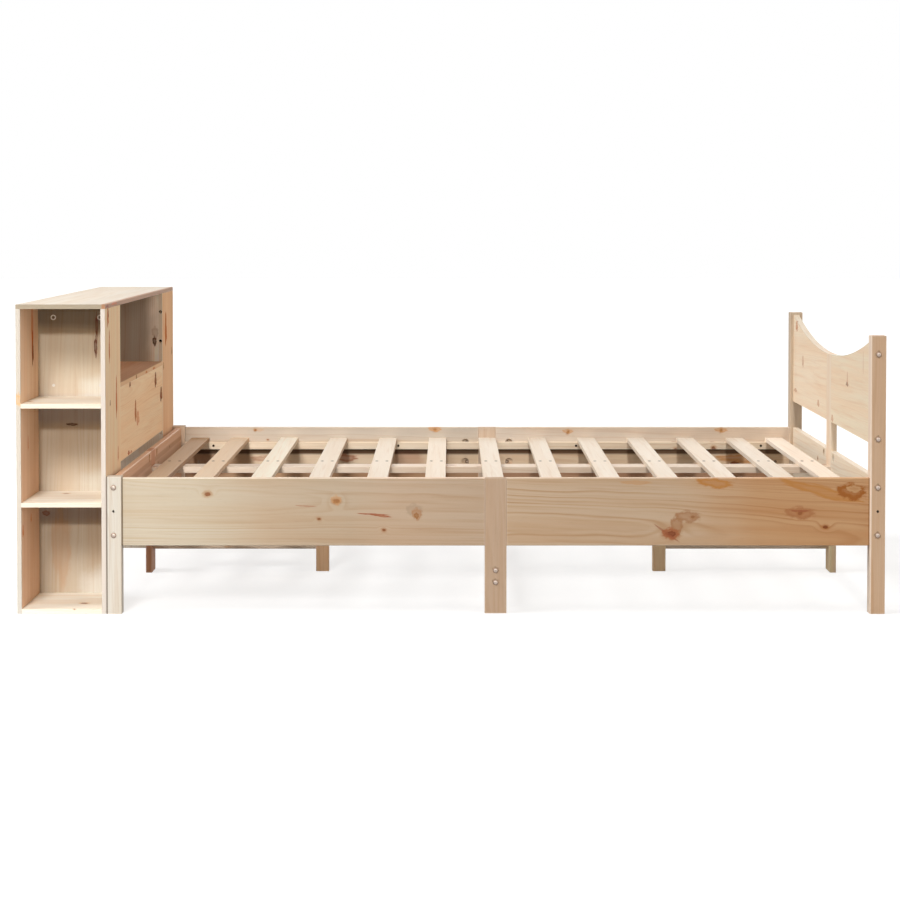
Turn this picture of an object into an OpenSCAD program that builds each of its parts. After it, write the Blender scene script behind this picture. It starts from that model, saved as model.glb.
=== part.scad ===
// A solid pine bed frame with a bookcase standing at its head end.
// The head end is at -X, the foot end at +X and Z is up. The origin is on the floor, under
// the middle of the whole object. "Near" is the -Y side and "far" is the +Y side.
// Every length is in millimetres.

/* [Bed] */
// Length of the clear space for the mattress
mattress_length = 2000; // [1900:5:2200]
// Width of the clear space for the mattress
mattress_width = 1400; // [1200:5:1800]
// Square section of the four corner posts
post = 40; // [36:1:50]
// Thickness of the rails, middle legs and foot panel
board = 18; // [16:0.5:20]
// Height of the rail boards
rail_height = 180; // [176:1:220]
// Height of the rails above the floor
rail_clearance = 180; // [150:1:240]
// Height of the head posts above the rails
head_post_rise = 4; // [0:0.5:40]
// Width of the leg in the middle of each long side
middle_leg_width = 58; // [44:1:80]
// Width of the posts in the middle of the head and foot ends
centre_post_width = 80; // [60:1:120]
// Chamfer along the long edges of the bed's boards
ease = 1.6; // [0.4:0.1:2.5]

/* [Foot end] */
// Height of the foot posts above the rails
foot_post_rise = 376; // [340:1:450]
// Height of the opening between the foot rails and the foot panel
foot_gap = 86; // [40:1:120]
// Height of the foot panel at its shoulders
panel_height = 282.5; // [260:0.5:300]
// Depth of the hollow in the top edge of the foot panel
hollow_depth = 84.5; // [60:0.5:110]
// Width of the rounded shoulder beside each foot post
shoulder = 12; // [8:1:40]
// Height of the rounded shoulder above the end of the hollow
shoulder_rise = 4.4; // [2:0.1:12]

/* [Slats and centre support] */
// Number of slats
slat_count = 13; // [9:2:15]
// Width of a slat
slat_width = 57; // [50:1:80]
// Thickness of a slat
slat_thickness = 13; // [11:0.5:18]
// Depth of the slat tops below the top of the rails
slat_drop = 34; // [25:1:50]
// Distance from the clear space's end to the centre of the first slat
slat_inset = 63; // [45:1:80]
// Distance between the centres of the first two slats at each end
slat_end_pitch = 129.5; // [115:0.5:160]
// Length left free at the end of a slat
slat_play = 1.5; // [0.5:0.5:5]
// Width of the ledges that carry the slat ends
ledge_width = 25; // [18:1:35]
// Height of the ledges that carry the slat ends
ledge_height = 23; // [18:1:35]
// Width of the flat centre beam
beam_width = 80; // [60:1:120]
// Length of a support leg's section, along the bed
leg_length = 38; // [30:1:60]
// Width of a support leg's section, across the bed
leg_width = 28; // [26:1:50]
// Distance of each support leg from the end of the clear space
leg_inset = 501.5; // [450:0.5:560]
// Height of the low stretchers
stretcher_height = 64; // [56:1:90]
// Height of the low stretchers above the floor
stretcher_clearance = 66; // [40:1:100]

/* [Bookcase] */
// Depth of the bookcase, along the bed
case_depth = 236; // [180:1:320]
// Height of the bookcase
case_height = 819; // [790:1:1000]
// Thickness of the bookcase boards
case_board = 12; // [12:0.5:15]
// Distance of the bookcase ends inside the bed's sides
case_inset = 4; // [0:1:30]
// Width of the open shelves at each end of the bookcase
case_end_width = 272; // [200:1:320]
// Height of the top of the lower end shelf
lower_shelf_top = 294; // [200:1:320]
// Height of the top of the upper end shelf
upper_shelf_top = 556; // [480:1:600]
// Height of the top of the centre shelf
centre_shelf_top = 592; // [560:1:640]
// Height of the lower edge of the front and back panels
case_panel_bottom = 374; // [366:1:400]
// Height of the lowest dowel in a bookcase panel
case_dowel_start = 460; // [440:1:470]
// Pitch of the dowel holes in the bookcase uprights
case_dowel_pitch = 96; // [90:1:98]
// Gap between the bookcase and the head end of the bed
case_gap = 0.5; // [0.2:0.1:0.9]
// Chamfer along the long edges of the bookcase boards
case_ease = 0.6; // [0.2:0.1:1.2]

/* [Fasteners] */
// Diameter of the bolts and of the rods
bolt_diameter = 6; // [5:0.5:7]
// Diameter of a bolt's domed head
bolt_head_diameter = 14.5; // [12:0.5:16]
// Height of a bolt's domed head
bolt_head_height = 3.4; // [2.5:0.1:4.5]
// Height of the lower bolt through a post, above the rail's lower edge
post_bolt_low = 28.5; // [25:0.5:40]
// Height of the upper bolt through a post, above the rail's lower edge
post_bolt_high = 155; // [150:0.5:160]
// Height of the lower bolt and rod in a side rail, above the rail's lower edge
side_bolt_low = 67; // [55:0.5:75]
// Height of the upper bolt and rod in a side rail, above the rail's lower edge
side_bolt_high = 130; // [120:0.5:135]
// Distance of the rods in the end rails from the rail's long edges
end_rod_inset = 17; // [16:0.5:20]
// Distance of the bolts in the foot panel from the panel's lower edge
panel_bolt_low = 17; // [14:0.5:30]
// Height of the upper bolt in the foot panel above the panel's lower edge
panel_bolt_high = 241; // [225:0.5:245]
// Distance between the two bolts at the foot of a middle leg
leg_bolt_pitch = 32; // [24:0.5:34]
// Distance from a board's end to the barrel nut in it
nut_inset = 45; // [35:0.5:55]
// Diameter of the barrel nuts
barrel_diameter = 10; // [9:0.5:12]
// Length of the barrel nuts
barrel_length = 14; // [12:0.5:14]
// Diameter of the round pockets beside the middle legs and centre posts
pocket_diameter = 24; // [22:0.5:26]
// Distance from a board's end to the centre of its pocket
pocket_inset = 42; // [38:0.5:50]
// Wood left behind a pocket
pocket_floor = 3; // [2:0.5:3]
// Diameter of the small open pilot holes in the posts
pilot_diameter = 5; // [3:0.5:6]
// Diameter of the wooden dowels in the bookcase
dowel_diameter = 5; // [4:0.5:6]
// Diameter of the wooden dowels in the foot panel
panel_dowel_diameter = 8; // [6:0.5:10]
// Diameter of a wood screw's shank
screw_diameter = 4; // [3:0.5:4.5]
// Diameter of a wood screw's head
screw_head_diameter = 8; // [7:0.5:9]
// Length of a wood screw inside the second piece of wood
screw_grip = 34; // [28:1:40]
// Distance from the clear space's end to the outer screw of a ledge
ledge_screw_outer = 107; // [90:1:140]
// Distance from the clear space's end to the middle screw of a ledge
ledge_screw_middle = 360; // [300:5:450]
// Distance from the clear space's end to the inner screw of a ledge
ledge_screw_inner = 710; // [600:5:800]
// Depth of a screw head below the wood
screw_sink = 0.8; // [0.2:0.1:1.2]
// Distance between the two screws in each slat
slat_screw_pitch = 30; // [24:1:36]
// Diameter of the cam locks under the bookcase top
cam_diameter = 15; // [12:0.5:16]
// Distance from the bookcase top board to the centre of a cam lock
cam_drop = 34; // [24:1:40]
// Distance between the two cam locks, and between the two shelf screws, on each divider
case_fixing_pitch = 128; // [96:1:140]
// Clearance around every fastener
fit = 0.1; // [0.05:0.05:0.2]

/* [Hidden] */

// Facets of the round fasteners and of the holes that take them
round_facets = 32;
// Smallest length that a cut runs past a surface
past = 1;
// Space left at the bottom of a blind hole
hole_spare = 0.5;

// Overall layout
recess = (post - board) / 2;
bed_length = mattress_length + 2 * (recess + board);
bed_width = mattress_width + 2 * (recess + board);
total_length = case_depth + case_gap + bed_length;
case_x0 = -total_length / 2;
case_x1 = case_x0 + case_depth;
bed_x0 = case_x1 + case_gap;
bed_x1 = total_length / 2;
mid_x = (bed_x0 + bed_x1) / 2;
bed_y = bed_width / 2;
clear_x0 = bed_x0 + recess + board;
clear_y = mattress_width / 2;
end_rail_x = bed_x0 + post / 2;
side_rail_y = bed_y - post / 2;
rail_top = rail_clearance + rail_height;

// Foot end
foot_post_top = rail_top + foot_post_rise;
panel_bottom = rail_top + foot_gap;
panel_top = panel_bottom + panel_height;
hollow_bottom = panel_top - hollow_depth;
panel_y = bed_y - post;

// Slats and centre support
slat_top = rail_top - slat_drop;
ledge_top = slat_top - slat_thickness;
beam_bottom = ledge_top - board;
slat_reach = mattress_length / 2 - slat_inset;
inner_slat_reach = slat_reach - slat_end_pitch;
inner_slats = slat_count - 2;
slat_pitch = 2 * inner_slat_reach / (inner_slats - 1);
slat_xs = concat(
    [-slat_reach],
    [for (i = [0 : inner_slats - 1]) -inner_slat_reach + i * slat_pitch],
    [slat_reach]
);
leg_x = clear_x0 + leg_inset;
stretcher_top = stretcher_clearance + stretcher_height;
stretcher_mid = stretcher_clearance + stretcher_height / 2;

// Bookcase
case_y = bed_y - case_inset;
case_end_y = case_y - case_end_width;
case_top = case_height - case_board;
case_mid_x = (case_x0 + case_x1) / 2;
case_in_x0 = case_x0 + case_board;
case_in_x1 = case_x1 - case_board;
upright_hole_zs = [for (i = [-1 : 3]) case_dowel_start + i * case_dowel_pitch];
panel_dowel_zs = [for (i = [0 : 3]) case_dowel_start + i * case_dowel_pitch];

// Fasteners
bolt_r = bolt_diameter / 2;
barrel_r = barrel_diameter / 2;
pocket_r = pocket_diameter / 2;
pocket_depth = board - pocket_floor;
screw_r = screw_diameter / 2;
screw_head_r = screw_head_diameter / 2;
post_bolt_zs = [rail_clearance + post_bolt_low, rail_clearance + post_bolt_high];
side_bolt_zs = [rail_clearance + side_bolt_low, rail_clearance + side_bolt_high];
end_rod_zs = [rail_clearance + end_rod_inset, rail_top - end_rod_inset];
panel_bolt_zs = [panel_bottom + panel_bolt_low, panel_bottom + panel_bolt_high];
leg_bolt_zs = [stretcher_mid - leg_bolt_pitch / 2, stretcher_mid + leg_bolt_pitch / 2];
stretcher_nut_inset = 30;
bolt_tip = 7;
counterbore_r = bolt_head_diameter / 2 + 0.8;
counterbore_depth = bolt_head_height + 0.6;
rod_tip = 7;
hex_nut_width = bolt_diameter * 5 / 3;
hex_nut_height = 5;
half_moon_thickness = 4;
ledge_screw_offsets = [
    mattress_length / 2 - ledge_screw_outer,
    mattress_length / 2 - ledge_screw_middle,
    mattress_length / 2 - ledge_screw_inner
];
panel_dowel_length = 40;
panel_dowel_zs_foot = [panel_bottom + panel_height * 0.18, panel_bottom + panel_height * 0.5];
shelf_dowel_ys = [0.2, 0.8];
upright_dowel_zs = [case_top * 0.12, case_top * 0.5, case_top * 0.9];
panel_dowel_depth = 20;
shelf_dowel_depth = 14;
case_dowel_depth = case_board * 2 / 3;

pine = [0.87, 0.77, 0.63];
pale_pine = [0.94, 0.89, 0.82];
warm_pine = [0.80, 0.64, 0.49];
beech = [0.80, 0.66, 0.47];
steel = [0.75, 0.75, 0.76];
zinc = [0.66, 0.66, 0.67];

// Section of a board whose four long edges are chamfered
module eased_section(width, height, chamfer) {
    x = width / 2;
    y = height / 2;
    polygon([
        [-x + chamfer, -y], [x - chamfer, -y], [x, -y + chamfer], [x, y - chamfer],
        [x - chamfer, y], [-x + chamfer, y], [-x, y - chamfer], [-x, -y + chamfer]
    ]);
}

// Boards whose grain runs along X, Y or Z, given by their lowest and highest corners
module board_x(low, high, chamfer = ease) {
    size = high - low;
    translate([low.x, (low.y + high.y) / 2, (low.z + high.z) / 2])
        rotate([90, 0, 90])
            linear_extrude(size.x) eased_section(size.y, size.z, chamfer);
}

module board_y(low, high, chamfer = ease) {
    size = high - low;
    translate([(low.x + high.x) / 2, high.y, (low.z + high.z) / 2])
        rotate([90, 0, 0])
            linear_extrude(size.y) eased_section(size.x, size.z, chamfer);
}

module board_z(low, high, chamfer = ease) {
    size = high - low;
    translate([(low.x + high.x) / 2, (low.y + high.y) / 2, low.z])
        linear_extrude(size.z) eased_section(size.x, size.y, chamfer);
}

// Round rods along X, Y or Z that start at a point; a negative length runs the other way
module rod_x(start, length, radius) {
    translate([min(start.x, start.x + length), start.y, start.z])
        rotate([0, 90, 0]) cylinder(r = radius, h = abs(length), $fn = round_facets);
}

module rod_y(start, length, radius) {
    translate([start.x, max(start.y, start.y + length), start.z])
        rotate([90, 0, 0]) cylinder(r = radius, h = abs(length), $fn = round_facets);
}

module rod_z(start, length, radius) {
    translate([start.x, start.y, min(start.z, start.z + length)])
        cylinder(r = radius, h = abs(length), $fn = round_facets);
}

// The near side as drawn, or its mirror image at the far side
module on_side(side) {
    if (side < 0) children();
    else mirror([0, 1, 0]) children();
}

// The head end as drawn, or its mirror image at the foot end
module at_end(end) {
    if (end < 0) children();
    else translate([2 * mid_x, 0, 0]) mirror([1, 0, 0]) children();
}

// A wood screw that points down from the origin; grown by a clearance it is also its hole
module screw(length, gap = 0) {
    head = screw_head_r - screw_r;
    rotate_extrude($fn = round_facets)
        polygon([
            [0, -screw_sink - length - (gap > 0 ? hole_spare : 0)],
            [screw_r + gap, -screw_sink - length - (gap > 0 ? hole_spare : 0)],
            [screw_r + gap, -screw_sink - head],
            [screw_head_r + gap, -screw_sink],
            [screw_head_r + gap, gap > 0 ? past : -screw_sink],
            [0, gap > 0 ? past : -screw_sink]
        ]);
}

// A bolt that points down from the underside of its domed head, with a socket in the head
module bolt(length) {
    r = bolt_head_diameter / 2;
    dome = (r * r + bolt_head_height * bolt_head_height) / (2 * bolt_head_height);
    difference() {
        union() {
            translate([0, 0, -length]) cylinder(r = bolt_r, h = length + 0.5, $fn = round_facets);
            rotate_extrude($fn = round_facets)
                intersection() {
                    translate([0, bolt_head_height - dome]) circle(r = dome, $fn = 96);
                    square([r, bolt_head_height]);
                }
        }
        translate([0, 0, bolt_head_height - 2.4])
            cylinder(d = bolt_diameter * 0.75, h = 2.4 + past, $fn = 6);
    }
}

// A barrel nut along Z with its cross hole along Y and a slot in its upper end
module barrel_nut() {
    difference() {
        cylinder(r = barrel_r, h = barrel_length, center = true, $fn = round_facets);
        rod_y([0, -barrel_r - past, 0], 2 * (barrel_r + past), bolt_r + fit);
        translate([0, 0, barrel_length / 2]) cube([barrel_diameter, 1.4, 1.8], center = true);
    }
}

// The half-moon washer and hexagon nut at the end of a rod; the rod leaves towards +X
module half_moon_and_nut() {
    reach = pocket_r - 2 * fit;
    seat = reach - half_moon_thickness;
    depth = board - 2 * pocket_floor - 4 * fit;
    difference() {
        intersection() {
            rod_y([0, -depth / 2, 0], depth, reach);
            translate([seat, -depth, -reach]) cube([reach, 2 * depth, 2 * reach]);
        }
        rod_x([0, 0, 0], pocket_r + past, bolt_r + fit);
    }
    difference() {
        translate([seat - fit - hex_nut_height, 0, 0])
            rotate([0, 90, 0]) cylinder(d = hex_nut_width / cos(30), h = hex_nut_height, $fn = 6);
        rod_x([-pocket_r, 0, 0], 2 * pocket_r, bolt_r + fit);
    }
}

// Holes for a bolt that enters a board's end along Y and the barrel nut that takes it,
// where the nut goes in from the board's -X face
module end_joint_hole(x, y, z, inset) {
    rod_y([x, y - past, z], past + inset + bolt_tip + hole_spare, bolt_r + fit);
    rod_x([x - board / 2 - past, y + inset, z],
        past + (board + barrel_length) / 2 + hole_spare, barrel_r + fit);
}

// The top edge of the foot panel from its shoulder to the centre line, as seen from the foot
hollow_y = panel_y - shoulder;
hollow_sag = hollow_depth - shoulder_rise;
hollow_radius = (hollow_y * hollow_y + hollow_sag * hollow_sag) / (2 * hollow_sag);
function hollow_z(y) = hollow_bottom + hollow_radius - sqrt(hollow_radius * hollow_radius - y * y);
hollow_steps = 36;
panel_edge = concat(
    [for (a = [90 : -15 : 15]) [
        -panel_y + shoulder * cos(a),
        panel_top - shoulder_rise * (1 - sin(a))
    ]],
    [for (i = [0 : hollow_steps]) let (y = -hollow_y * (1 - i / hollow_steps)) [y, hollow_z(y)]]
);

// The space below the foot panel's top edge, along the whole width
module under_hollow() {
    rear = end_rail_x - board / 2 - past;
    points = concat(
        [[-panel_y, 0]],
        panel_edge,
        [for (i = [len(panel_edge) - 2 : -1 : 0]) [-panel_edge[i].x, panel_edge[i].y]],
        [[panel_y, 0]]
    );
    translate([rear, 0, 0])
        rotate([90, 0, 90])
            linear_extrude(board + 2 * past) polygon(points);
}

// Bookcase: the near end, of which the far end is a mirror image

// Full-height board at the back or front of an end of the bookcase
module case_upright(x) {
    low = [x, -case_y, 0];
    difference() {
        board_z(low, [x + case_board, -case_end_y, case_top], case_ease);
        for (z = upright_hole_zs)
            rod_y([x + case_board / 2, -case_end_y + past, z],
                -past - panel_dowel_depth - hole_spare, dowel_diameter / 2 + fit);
        side = x < case_mid_x ? 1 : -1;
        inner = x < case_mid_x ? case_in_x0 : case_in_x1;
        deep = case_dowel_depth + hole_spare;
        for (top = [case_board, lower_shelf_top, upper_shelf_top], share = shelf_dowel_ys)
            rod_x([inner + side * past, shelf_dowel_y(share), top - case_board / 2],
                -side * (past + deep), dowel_diameter / 2 + fit);
        for (z = upright_dowel_zs)
            rod_x([inner + side * past, -case_end_y - case_board / 2, z],
                -side * (past + deep), dowel_diameter / 2 + fit);
        rod_z([x + case_board / 2, -(case_y + case_end_y) / 2, case_top + past],
            -past - shelf_dowel_depth - hole_spare, dowel_diameter / 2 + fit);
    }
}

function shelf_dowel_y(share) = -case_y + share * (case_end_width - case_board);

// Board across an end of the bookcase, whose top is at a given height
module end_shelf(top) {
    color(pale_pine)
        difference() {
            board_x([case_in_x0, -case_y, top - case_board],
                [case_in_x1, -case_end_y - case_board, top], case_ease);
            for (share = shelf_dowel_ys, side = [-1, 1])
                rod_x([(side < 0 ? case_in_x0 : case_in_x1) + side * past,
                    shelf_dowel_y(share), top - case_board / 2],
                    -side * (past + shelf_dowel_depth + hole_spare), dowel_diameter / 2 + fit);
        }
}

module case_rear_board() {
    color(warm_pine) case_upright(case_x0);
}

module case_stile() {
    color(warm_pine) case_upright(case_in_x1);
}

// Board that closes the inner side of an end; the cams and shelf screws pass through it
module case_divider() {
    y = -case_end_y - case_board;
    color(pine)
        difference() {
            board_z([case_in_x0, y, 0], [case_in_x1, -case_end_y, case_top], case_ease);
            for (z = upright_dowel_zs, side = [-1, 1])
                rod_x([(side < 0 ? case_in_x0 : case_in_x1) + side * past,
                    y + case_board / 2, z],
                    -side * (past + shelf_dowel_depth + hole_spare), dowel_diameter / 2 + fit);
            for (side = [-1, 1]) {
                x = case_mid_x + side * case_fixing_pitch / 2;
                rod_y([x, y - past, case_top - cam_drop], past + cam_depth + hole_spare,
                    cam_diameter / 2 + fit);
                rod_z([x, y + case_board / 2, case_top + past],
                    -past - cam_drop, dowel_diameter / 2 + fit);
                translate([x, y, centre_shelf_top - case_board / 2])
                    rotate([90, 0, 0]) screw(shelf_screw_length, fit);
            }
        }
}
cam_depth = case_board * 0.75;
shelf_screw_length = case_board + screw_grip;

module top_board() {
    depth = case_board * 2 / 3 + hole_spare;
    color(pale_pine)
        difference() {
            board_y([case_x0, -case_y, case_top], [case_x1, case_y, case_height], case_ease);
            for (side = [-1, 1], x = [case_x0 + case_board / 2, case_x1 - case_board / 2])
                rod_z([x, side * (case_y + case_end_y) / 2, case_top - past],
                    past + depth, dowel_diameter / 2 + fit);
            for (side = [-1, 1], end = [-1, 1])
                rod_z([case_mid_x + end * case_fixing_pitch / 2,
                    side * (case_end_y + case_board / 2), case_top - past],
                    past + depth, dowel_diameter / 2 + fit);
        }
}

// Shelf of the middle compartment; its front edge lies flush with the stiles
module centre_shelf() {
    color(warm_pine)
        difference() {
            board_y([case_in_x0, -case_end_y, centre_shelf_top - case_board],
                [case_x1, case_end_y, centre_shelf_top], case_ease);
            for (side = [-1, 1], end = [-1, 1])
                on_side(side)
                    translate([case_mid_x + end * case_fixing_pitch / 2,
                        -case_end_y - case_board, centre_shelf_top - case_board / 2])
                        rotate([90, 0, 0]) screw(shelf_screw_length, fit);
        }
}

// Panel between the uprights, held by dowels in their edges
module case_panel(x, top) {
    difference() {
        board_y([x, -case_end_y, case_panel_bottom], [x + case_board, case_end_y, top], case_ease);
        for (z = panel_dowel_zs, side = [-1, 1])
            if (z < top - 2 * dowel_diameter)
                rod_y([x + case_board / 2, side * (case_end_y + past), z],
                    -side * (past + panel_dowel_depth + hole_spare), dowel_diameter / 2 + fit);
    }
}

module front_panel() {
    color(warm_pine) case_panel(case_in_x1, centre_shelf_top - case_board);
}

module back_panel() {
    color(warm_pine) case_panel(case_x0, case_top);
}

// Round cams in the dividers that draw the top board down by its pins
module cam_locks() {
    color(zinc)
        for (side = [-1, 1], end = [-1, 1])
            on_side(side)
                translate([case_mid_x + end * case_fixing_pitch / 2, -case_end_y - case_board,
                    case_top - cam_drop])
                    difference() {
                        rod_y([0, 0.2, 0], cam_depth - 0.2, cam_diameter / 2);
                        rod_y([0, -past, 0], past + 1.2, cam_diameter / 4);
                        rod_z([0, case_board / 2, 0], cam_drop, dowel_diameter / 2);
                    }
}

module cam_pins() {
    length = cam_drop - cam_diameter / 4 + case_board * 2 / 3;
    color(steel)
        for (side = [-1, 1], end = [-1, 1])
            rod_z([case_mid_x + end * case_fixing_pitch / 2,
                side * (case_end_y + case_board / 2), case_top - cam_drop + cam_diameter / 4],
                length, dowel_diameter / 2 - fit);
}

// Screws through the dividers into the ends of the centre shelf
module shelf_screws() {
    color(steel)
        for (side = [-1, 1], end = [-1, 1])
            on_side(side)
                translate([case_mid_x + end * case_fixing_pitch / 2, -case_end_y - case_board,
                    centre_shelf_top - case_board / 2])
                    rotate([90, 0, 0]) screw(shelf_screw_length);
}

// Wooden dowels of the bookcase and of the foot panel
module dowels() {
    r = dowel_diameter / 2;
    shelf_length = shelf_dowel_depth + case_dowel_depth;
    color(beech)
        for (side = [-1, 1]) {
            on_side(side) {
                for (face = [-1, 1]) {
                    inner = face < 0 ? case_in_x0 : case_in_x1;
                    start = inner + face * case_dowel_depth;
                    for (top = [case_board, lower_shelf_top, upper_shelf_top],
                        share = shelf_dowel_ys)
                        rod_x([start, shelf_dowel_y(share), top - case_board / 2],
                            -face * shelf_length, r);
                    for (z = upright_dowel_zs)
                        rod_x([start, -case_end_y - case_board / 2, z], -face * shelf_length, r);
                    rod_z([inner + face * case_board / 2, -(case_y + case_end_y) / 2,
                        case_top - shelf_dowel_depth], shelf_dowel_depth + case_board * 2 / 3, r);
                }
                for (z = panel_dowel_zs) {
                    rod_y([case_x0 + case_board / 2, -case_end_y - panel_dowel_depth, z],
                        2 * panel_dowel_depth, r);
                    if (z < centre_shelf_top - case_board - 2 * dowel_diameter)
                        rod_y([case_x1 - case_board / 2, -case_end_y - panel_dowel_depth, z],
                            2 * panel_dowel_depth, r);
                }
                for (z = panel_dowel_zs_foot)
                    at_end(1)
                        rod_y([end_rail_x, -centre_post_width / 2 - panel_dowel_length / 2, z],
                            panel_dowel_length, panel_dowel_diameter / 2);
            }
        }
}

// Bed ends: the near head corner is drawn, and the others are its mirror images

// Corner post with its bolt holes, counterbores and the small open pilot hole
module corner_post(height, bolt_zs) {
    difference() {
        board_z([bed_x0, -bed_y, 0], [bed_x0 + post, -bed_y + post, height]);
        for (z = bolt_zs)
            rod_y([end_rail_x, -bed_y - past, z], post + 2 * past, bolt_r + fit);
        for (z = side_bolt_zs) {
            rod_x([bed_x0 - past, -side_rail_y, z], post + 2 * past, bolt_r + fit);
            rod_x([bed_x0 - past, -side_rail_y, z], past + counterbore_depth, counterbore_r);
        }
        rod_y([end_rail_x, -bed_y - past, (post_bolt_zs[0] + post_bolt_zs[1]) / 2],
            past + post * 0.55, pilot_diameter / 2);
    }
}

module head_post() {
    color(pale_pine) corner_post(rail_top + head_post_rise, post_bolt_zs);
}

module foot_post() {
    color(pine) at_end(1) corner_post(foot_post_top, concat(post_bolt_zs, panel_bolt_zs));
}

// Half of a head or foot rail, between a corner post and the centre post
module end_rail() {
    y0 = -bed_y + post;
    y1 = -centre_post_width / 2;
    color(pine)
        difference() {
            board_y([end_rail_x - board / 2, y0, rail_clearance],
                [end_rail_x + board / 2, y1, rail_top]);
            for (z = post_bolt_zs) end_joint_hole(end_rail_x, y0, z, nut_inset);
            for (z = end_rod_zs) {
                rod_y([end_rail_x, y1 + past, z], -past - pocket_inset, bolt_r + fit);
                rod_x([end_rail_x + board / 2 + past, y1 - pocket_inset, z],
                    -past - pocket_depth, pocket_r);
            }
        }
}

// Holes for the rods and for the screws of the cleat and low stretcher in a centre post
module centre_post_holes() {
    for (z = end_rod_zs)
        rod_y([end_rail_x, -centre_post_width / 2 - past, z],
            centre_post_width + 2 * past, bolt_r + fit);
    stretcher_screws(fit);
    cleat_screws(fit);
}

// Post in the middle of the head end, from the floor to the top of the rails
module head_centre_post() {
    color(pine)
        difference() {
            board_z([end_rail_x - board / 2, -centre_post_width / 2, 0],
                [end_rail_x + board / 2, centre_post_width / 2, rail_top]);
            centre_post_holes();
        }
}

// Post in the middle of the foot end; its top follows the hollow of the panel
module foot_centre_post() {
    color(pine)
        at_end(1)
            difference() {
                intersection() {
                    board_z([end_rail_x - board / 2, -centre_post_width / 2, 0],
                        [end_rail_x + board / 2, centre_post_width / 2, panel_top]);
                    under_hollow();
                }
                centre_post_holes();
                for (side = [-1, 1], z = panel_dowel_zs_foot)
                    rod_y([end_rail_x, side * (centre_post_width / 2 + past), z],
                        -side * (past + panel_dowel_length / 2 + hole_spare),
                        panel_dowel_diameter / 2 + fit);
            }
}

// Half of the foot panel, between a foot post and the centre post
module foot_panel() {
    y0 = -panel_y;
    y1 = -centre_post_width / 2;
    color(pine)
        at_end(1)
            difference() {
                intersection() {
                    translate([end_rail_x - board / 2, y0, panel_bottom])
                        cube([board, y1 - y0, panel_height]);
                    under_hollow();
                }
                for (z = panel_bolt_zs) end_joint_hole(end_rail_x, y0, z, nut_inset);
                for (z = panel_dowel_zs_foot)
                    rod_y([end_rail_x, y1 + past, z],
                        -past - panel_dowel_length / 2 - hole_spare,
                        panel_dowel_diameter / 2 + fit);
            }
}

// Bed sides

// Half of a side rail, between a corner post and the middle leg
module side_rail() {
    x0 = bed_x0 + post;
    x1 = mid_x - middle_leg_width / 2;
    inner = -side_rail_y + board / 2;
    color(pine)
        difference() {
            board_x([x0, -side_rail_y - board / 2, rail_clearance], [x1, inner, rail_top]);
            for (z = side_bolt_zs) {
                rod_x([x0 - past, -side_rail_y, z], past + nut_inset + bolt_tip + hole_spare,
                    bolt_r + fit);
                rod_y([x0 + nut_inset, inner + past, z],
                    -past - (board + barrel_length) / 2 - hole_spare, barrel_r + fit);
                rod_x([x1 + past, -side_rail_y, z], -past - pocket_inset, bolt_r + fit);
                rod_y([x1 - pocket_inset, inner + past, z], -past - pocket_depth, pocket_r);
            }
            ledge_screws(fit);
        }
}

// Leg in the middle of a long side, flush with the rails and bolted to the cross stretcher
module middle_leg() {
    color(pine)
        difference() {
            board_z([mid_x - middle_leg_width / 2, -side_rail_y - board / 2, 0],
                [mid_x + middle_leg_width / 2, -side_rail_y + board / 2, rail_top]);
            for (z = side_bolt_zs)
                rod_x([mid_x - middle_leg_width / 2 - past, -side_rail_y, z],
                    middle_leg_width + 2 * past, bolt_r + fit);
            for (z = leg_bolt_zs)
                rod_y([mid_x, -side_rail_y - board / 2 - past, z], board + 2 * past, bolt_r + fit);
        }
}

// Ledge screwed to the inside of a side rail, which carries the slat ends
module ledge() {
    color(pine)
        difference() {
            board_x([bed_x0 + post, -clear_y, ledge_top - ledge_height],
                [mid_x, -clear_y + ledge_width, ledge_top], ease / 2);
            ledge_screws(fit);
        }
}

// Screws through a ledge into its side rail
module ledge_screws(gap = 0) {
    for (offset = ledge_screw_offsets)
        translate([mid_x - offset, -clear_y + ledge_width, ledge_top - ledge_height / 2])
            rotate([-90, 0, 0]) screw(ledge_width + board * 0.6, gap);
}

// Slats and centre support

module slats() {
    color(pale_pine)
        for (x = slat_xs)
            translate([mid_x + x, 0, 0])
                difference() {
                    board_y([-slat_width / 2, -clear_y + slat_play, ledge_top],
                        [slat_width / 2, clear_y - slat_play, slat_top], ease / 2);
                    for (side = [-1, 1])
                        translate([side * slat_screw_pitch / 2, 0, slat_top])
                            screw(slat_thickness + board * 0.7, fit);
                }
}

// Screws through the slats into the centre beam
module slat_screws() {
    color(zinc)
        for (x = slat_xs, side = [-1, 1])
            translate([mid_x + x + side * slat_screw_pitch / 2, 0, slat_top])
                screw(slat_thickness + board * 0.7);
}

// Half of the flat centre beam, from the centre post to the prop in the middle of the bed
module beam() {
    color(pine)
        difference() {
            board_x([clear_x0, -beam_width / 2, beam_bottom], [mid_x, beam_width / 2, ledge_top],
                ease / 2);
            for (x = slat_xs, side = [-1, 1])
                if (x + side * slat_screw_pitch / 2 < 0)
                    translate([mid_x + x + side * slat_screw_pitch / 2, 0, slat_top])
                        screw(slat_thickness + board * 0.7, fit);
            beam_screws(fit);
        }
}

// Screws down through the beam into the cleat, the support leg and the prop
module beam_screws(gap = 0) {
    spread = leg_width / 2 - screw_head_r;
    length = board + screw_grip;
    for (side = [-1, 1])
        translate([leg_x, side * spread, ledge_top]) screw(length, gap);
    translate([mid_x - leg_length / 4, -spread, ledge_top]) screw(length, gap);
    translate([clear_x0 + ledge_width / 2, 0, ledge_top])
        screw(board + ledge_height * 0.6, gap);
}

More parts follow.
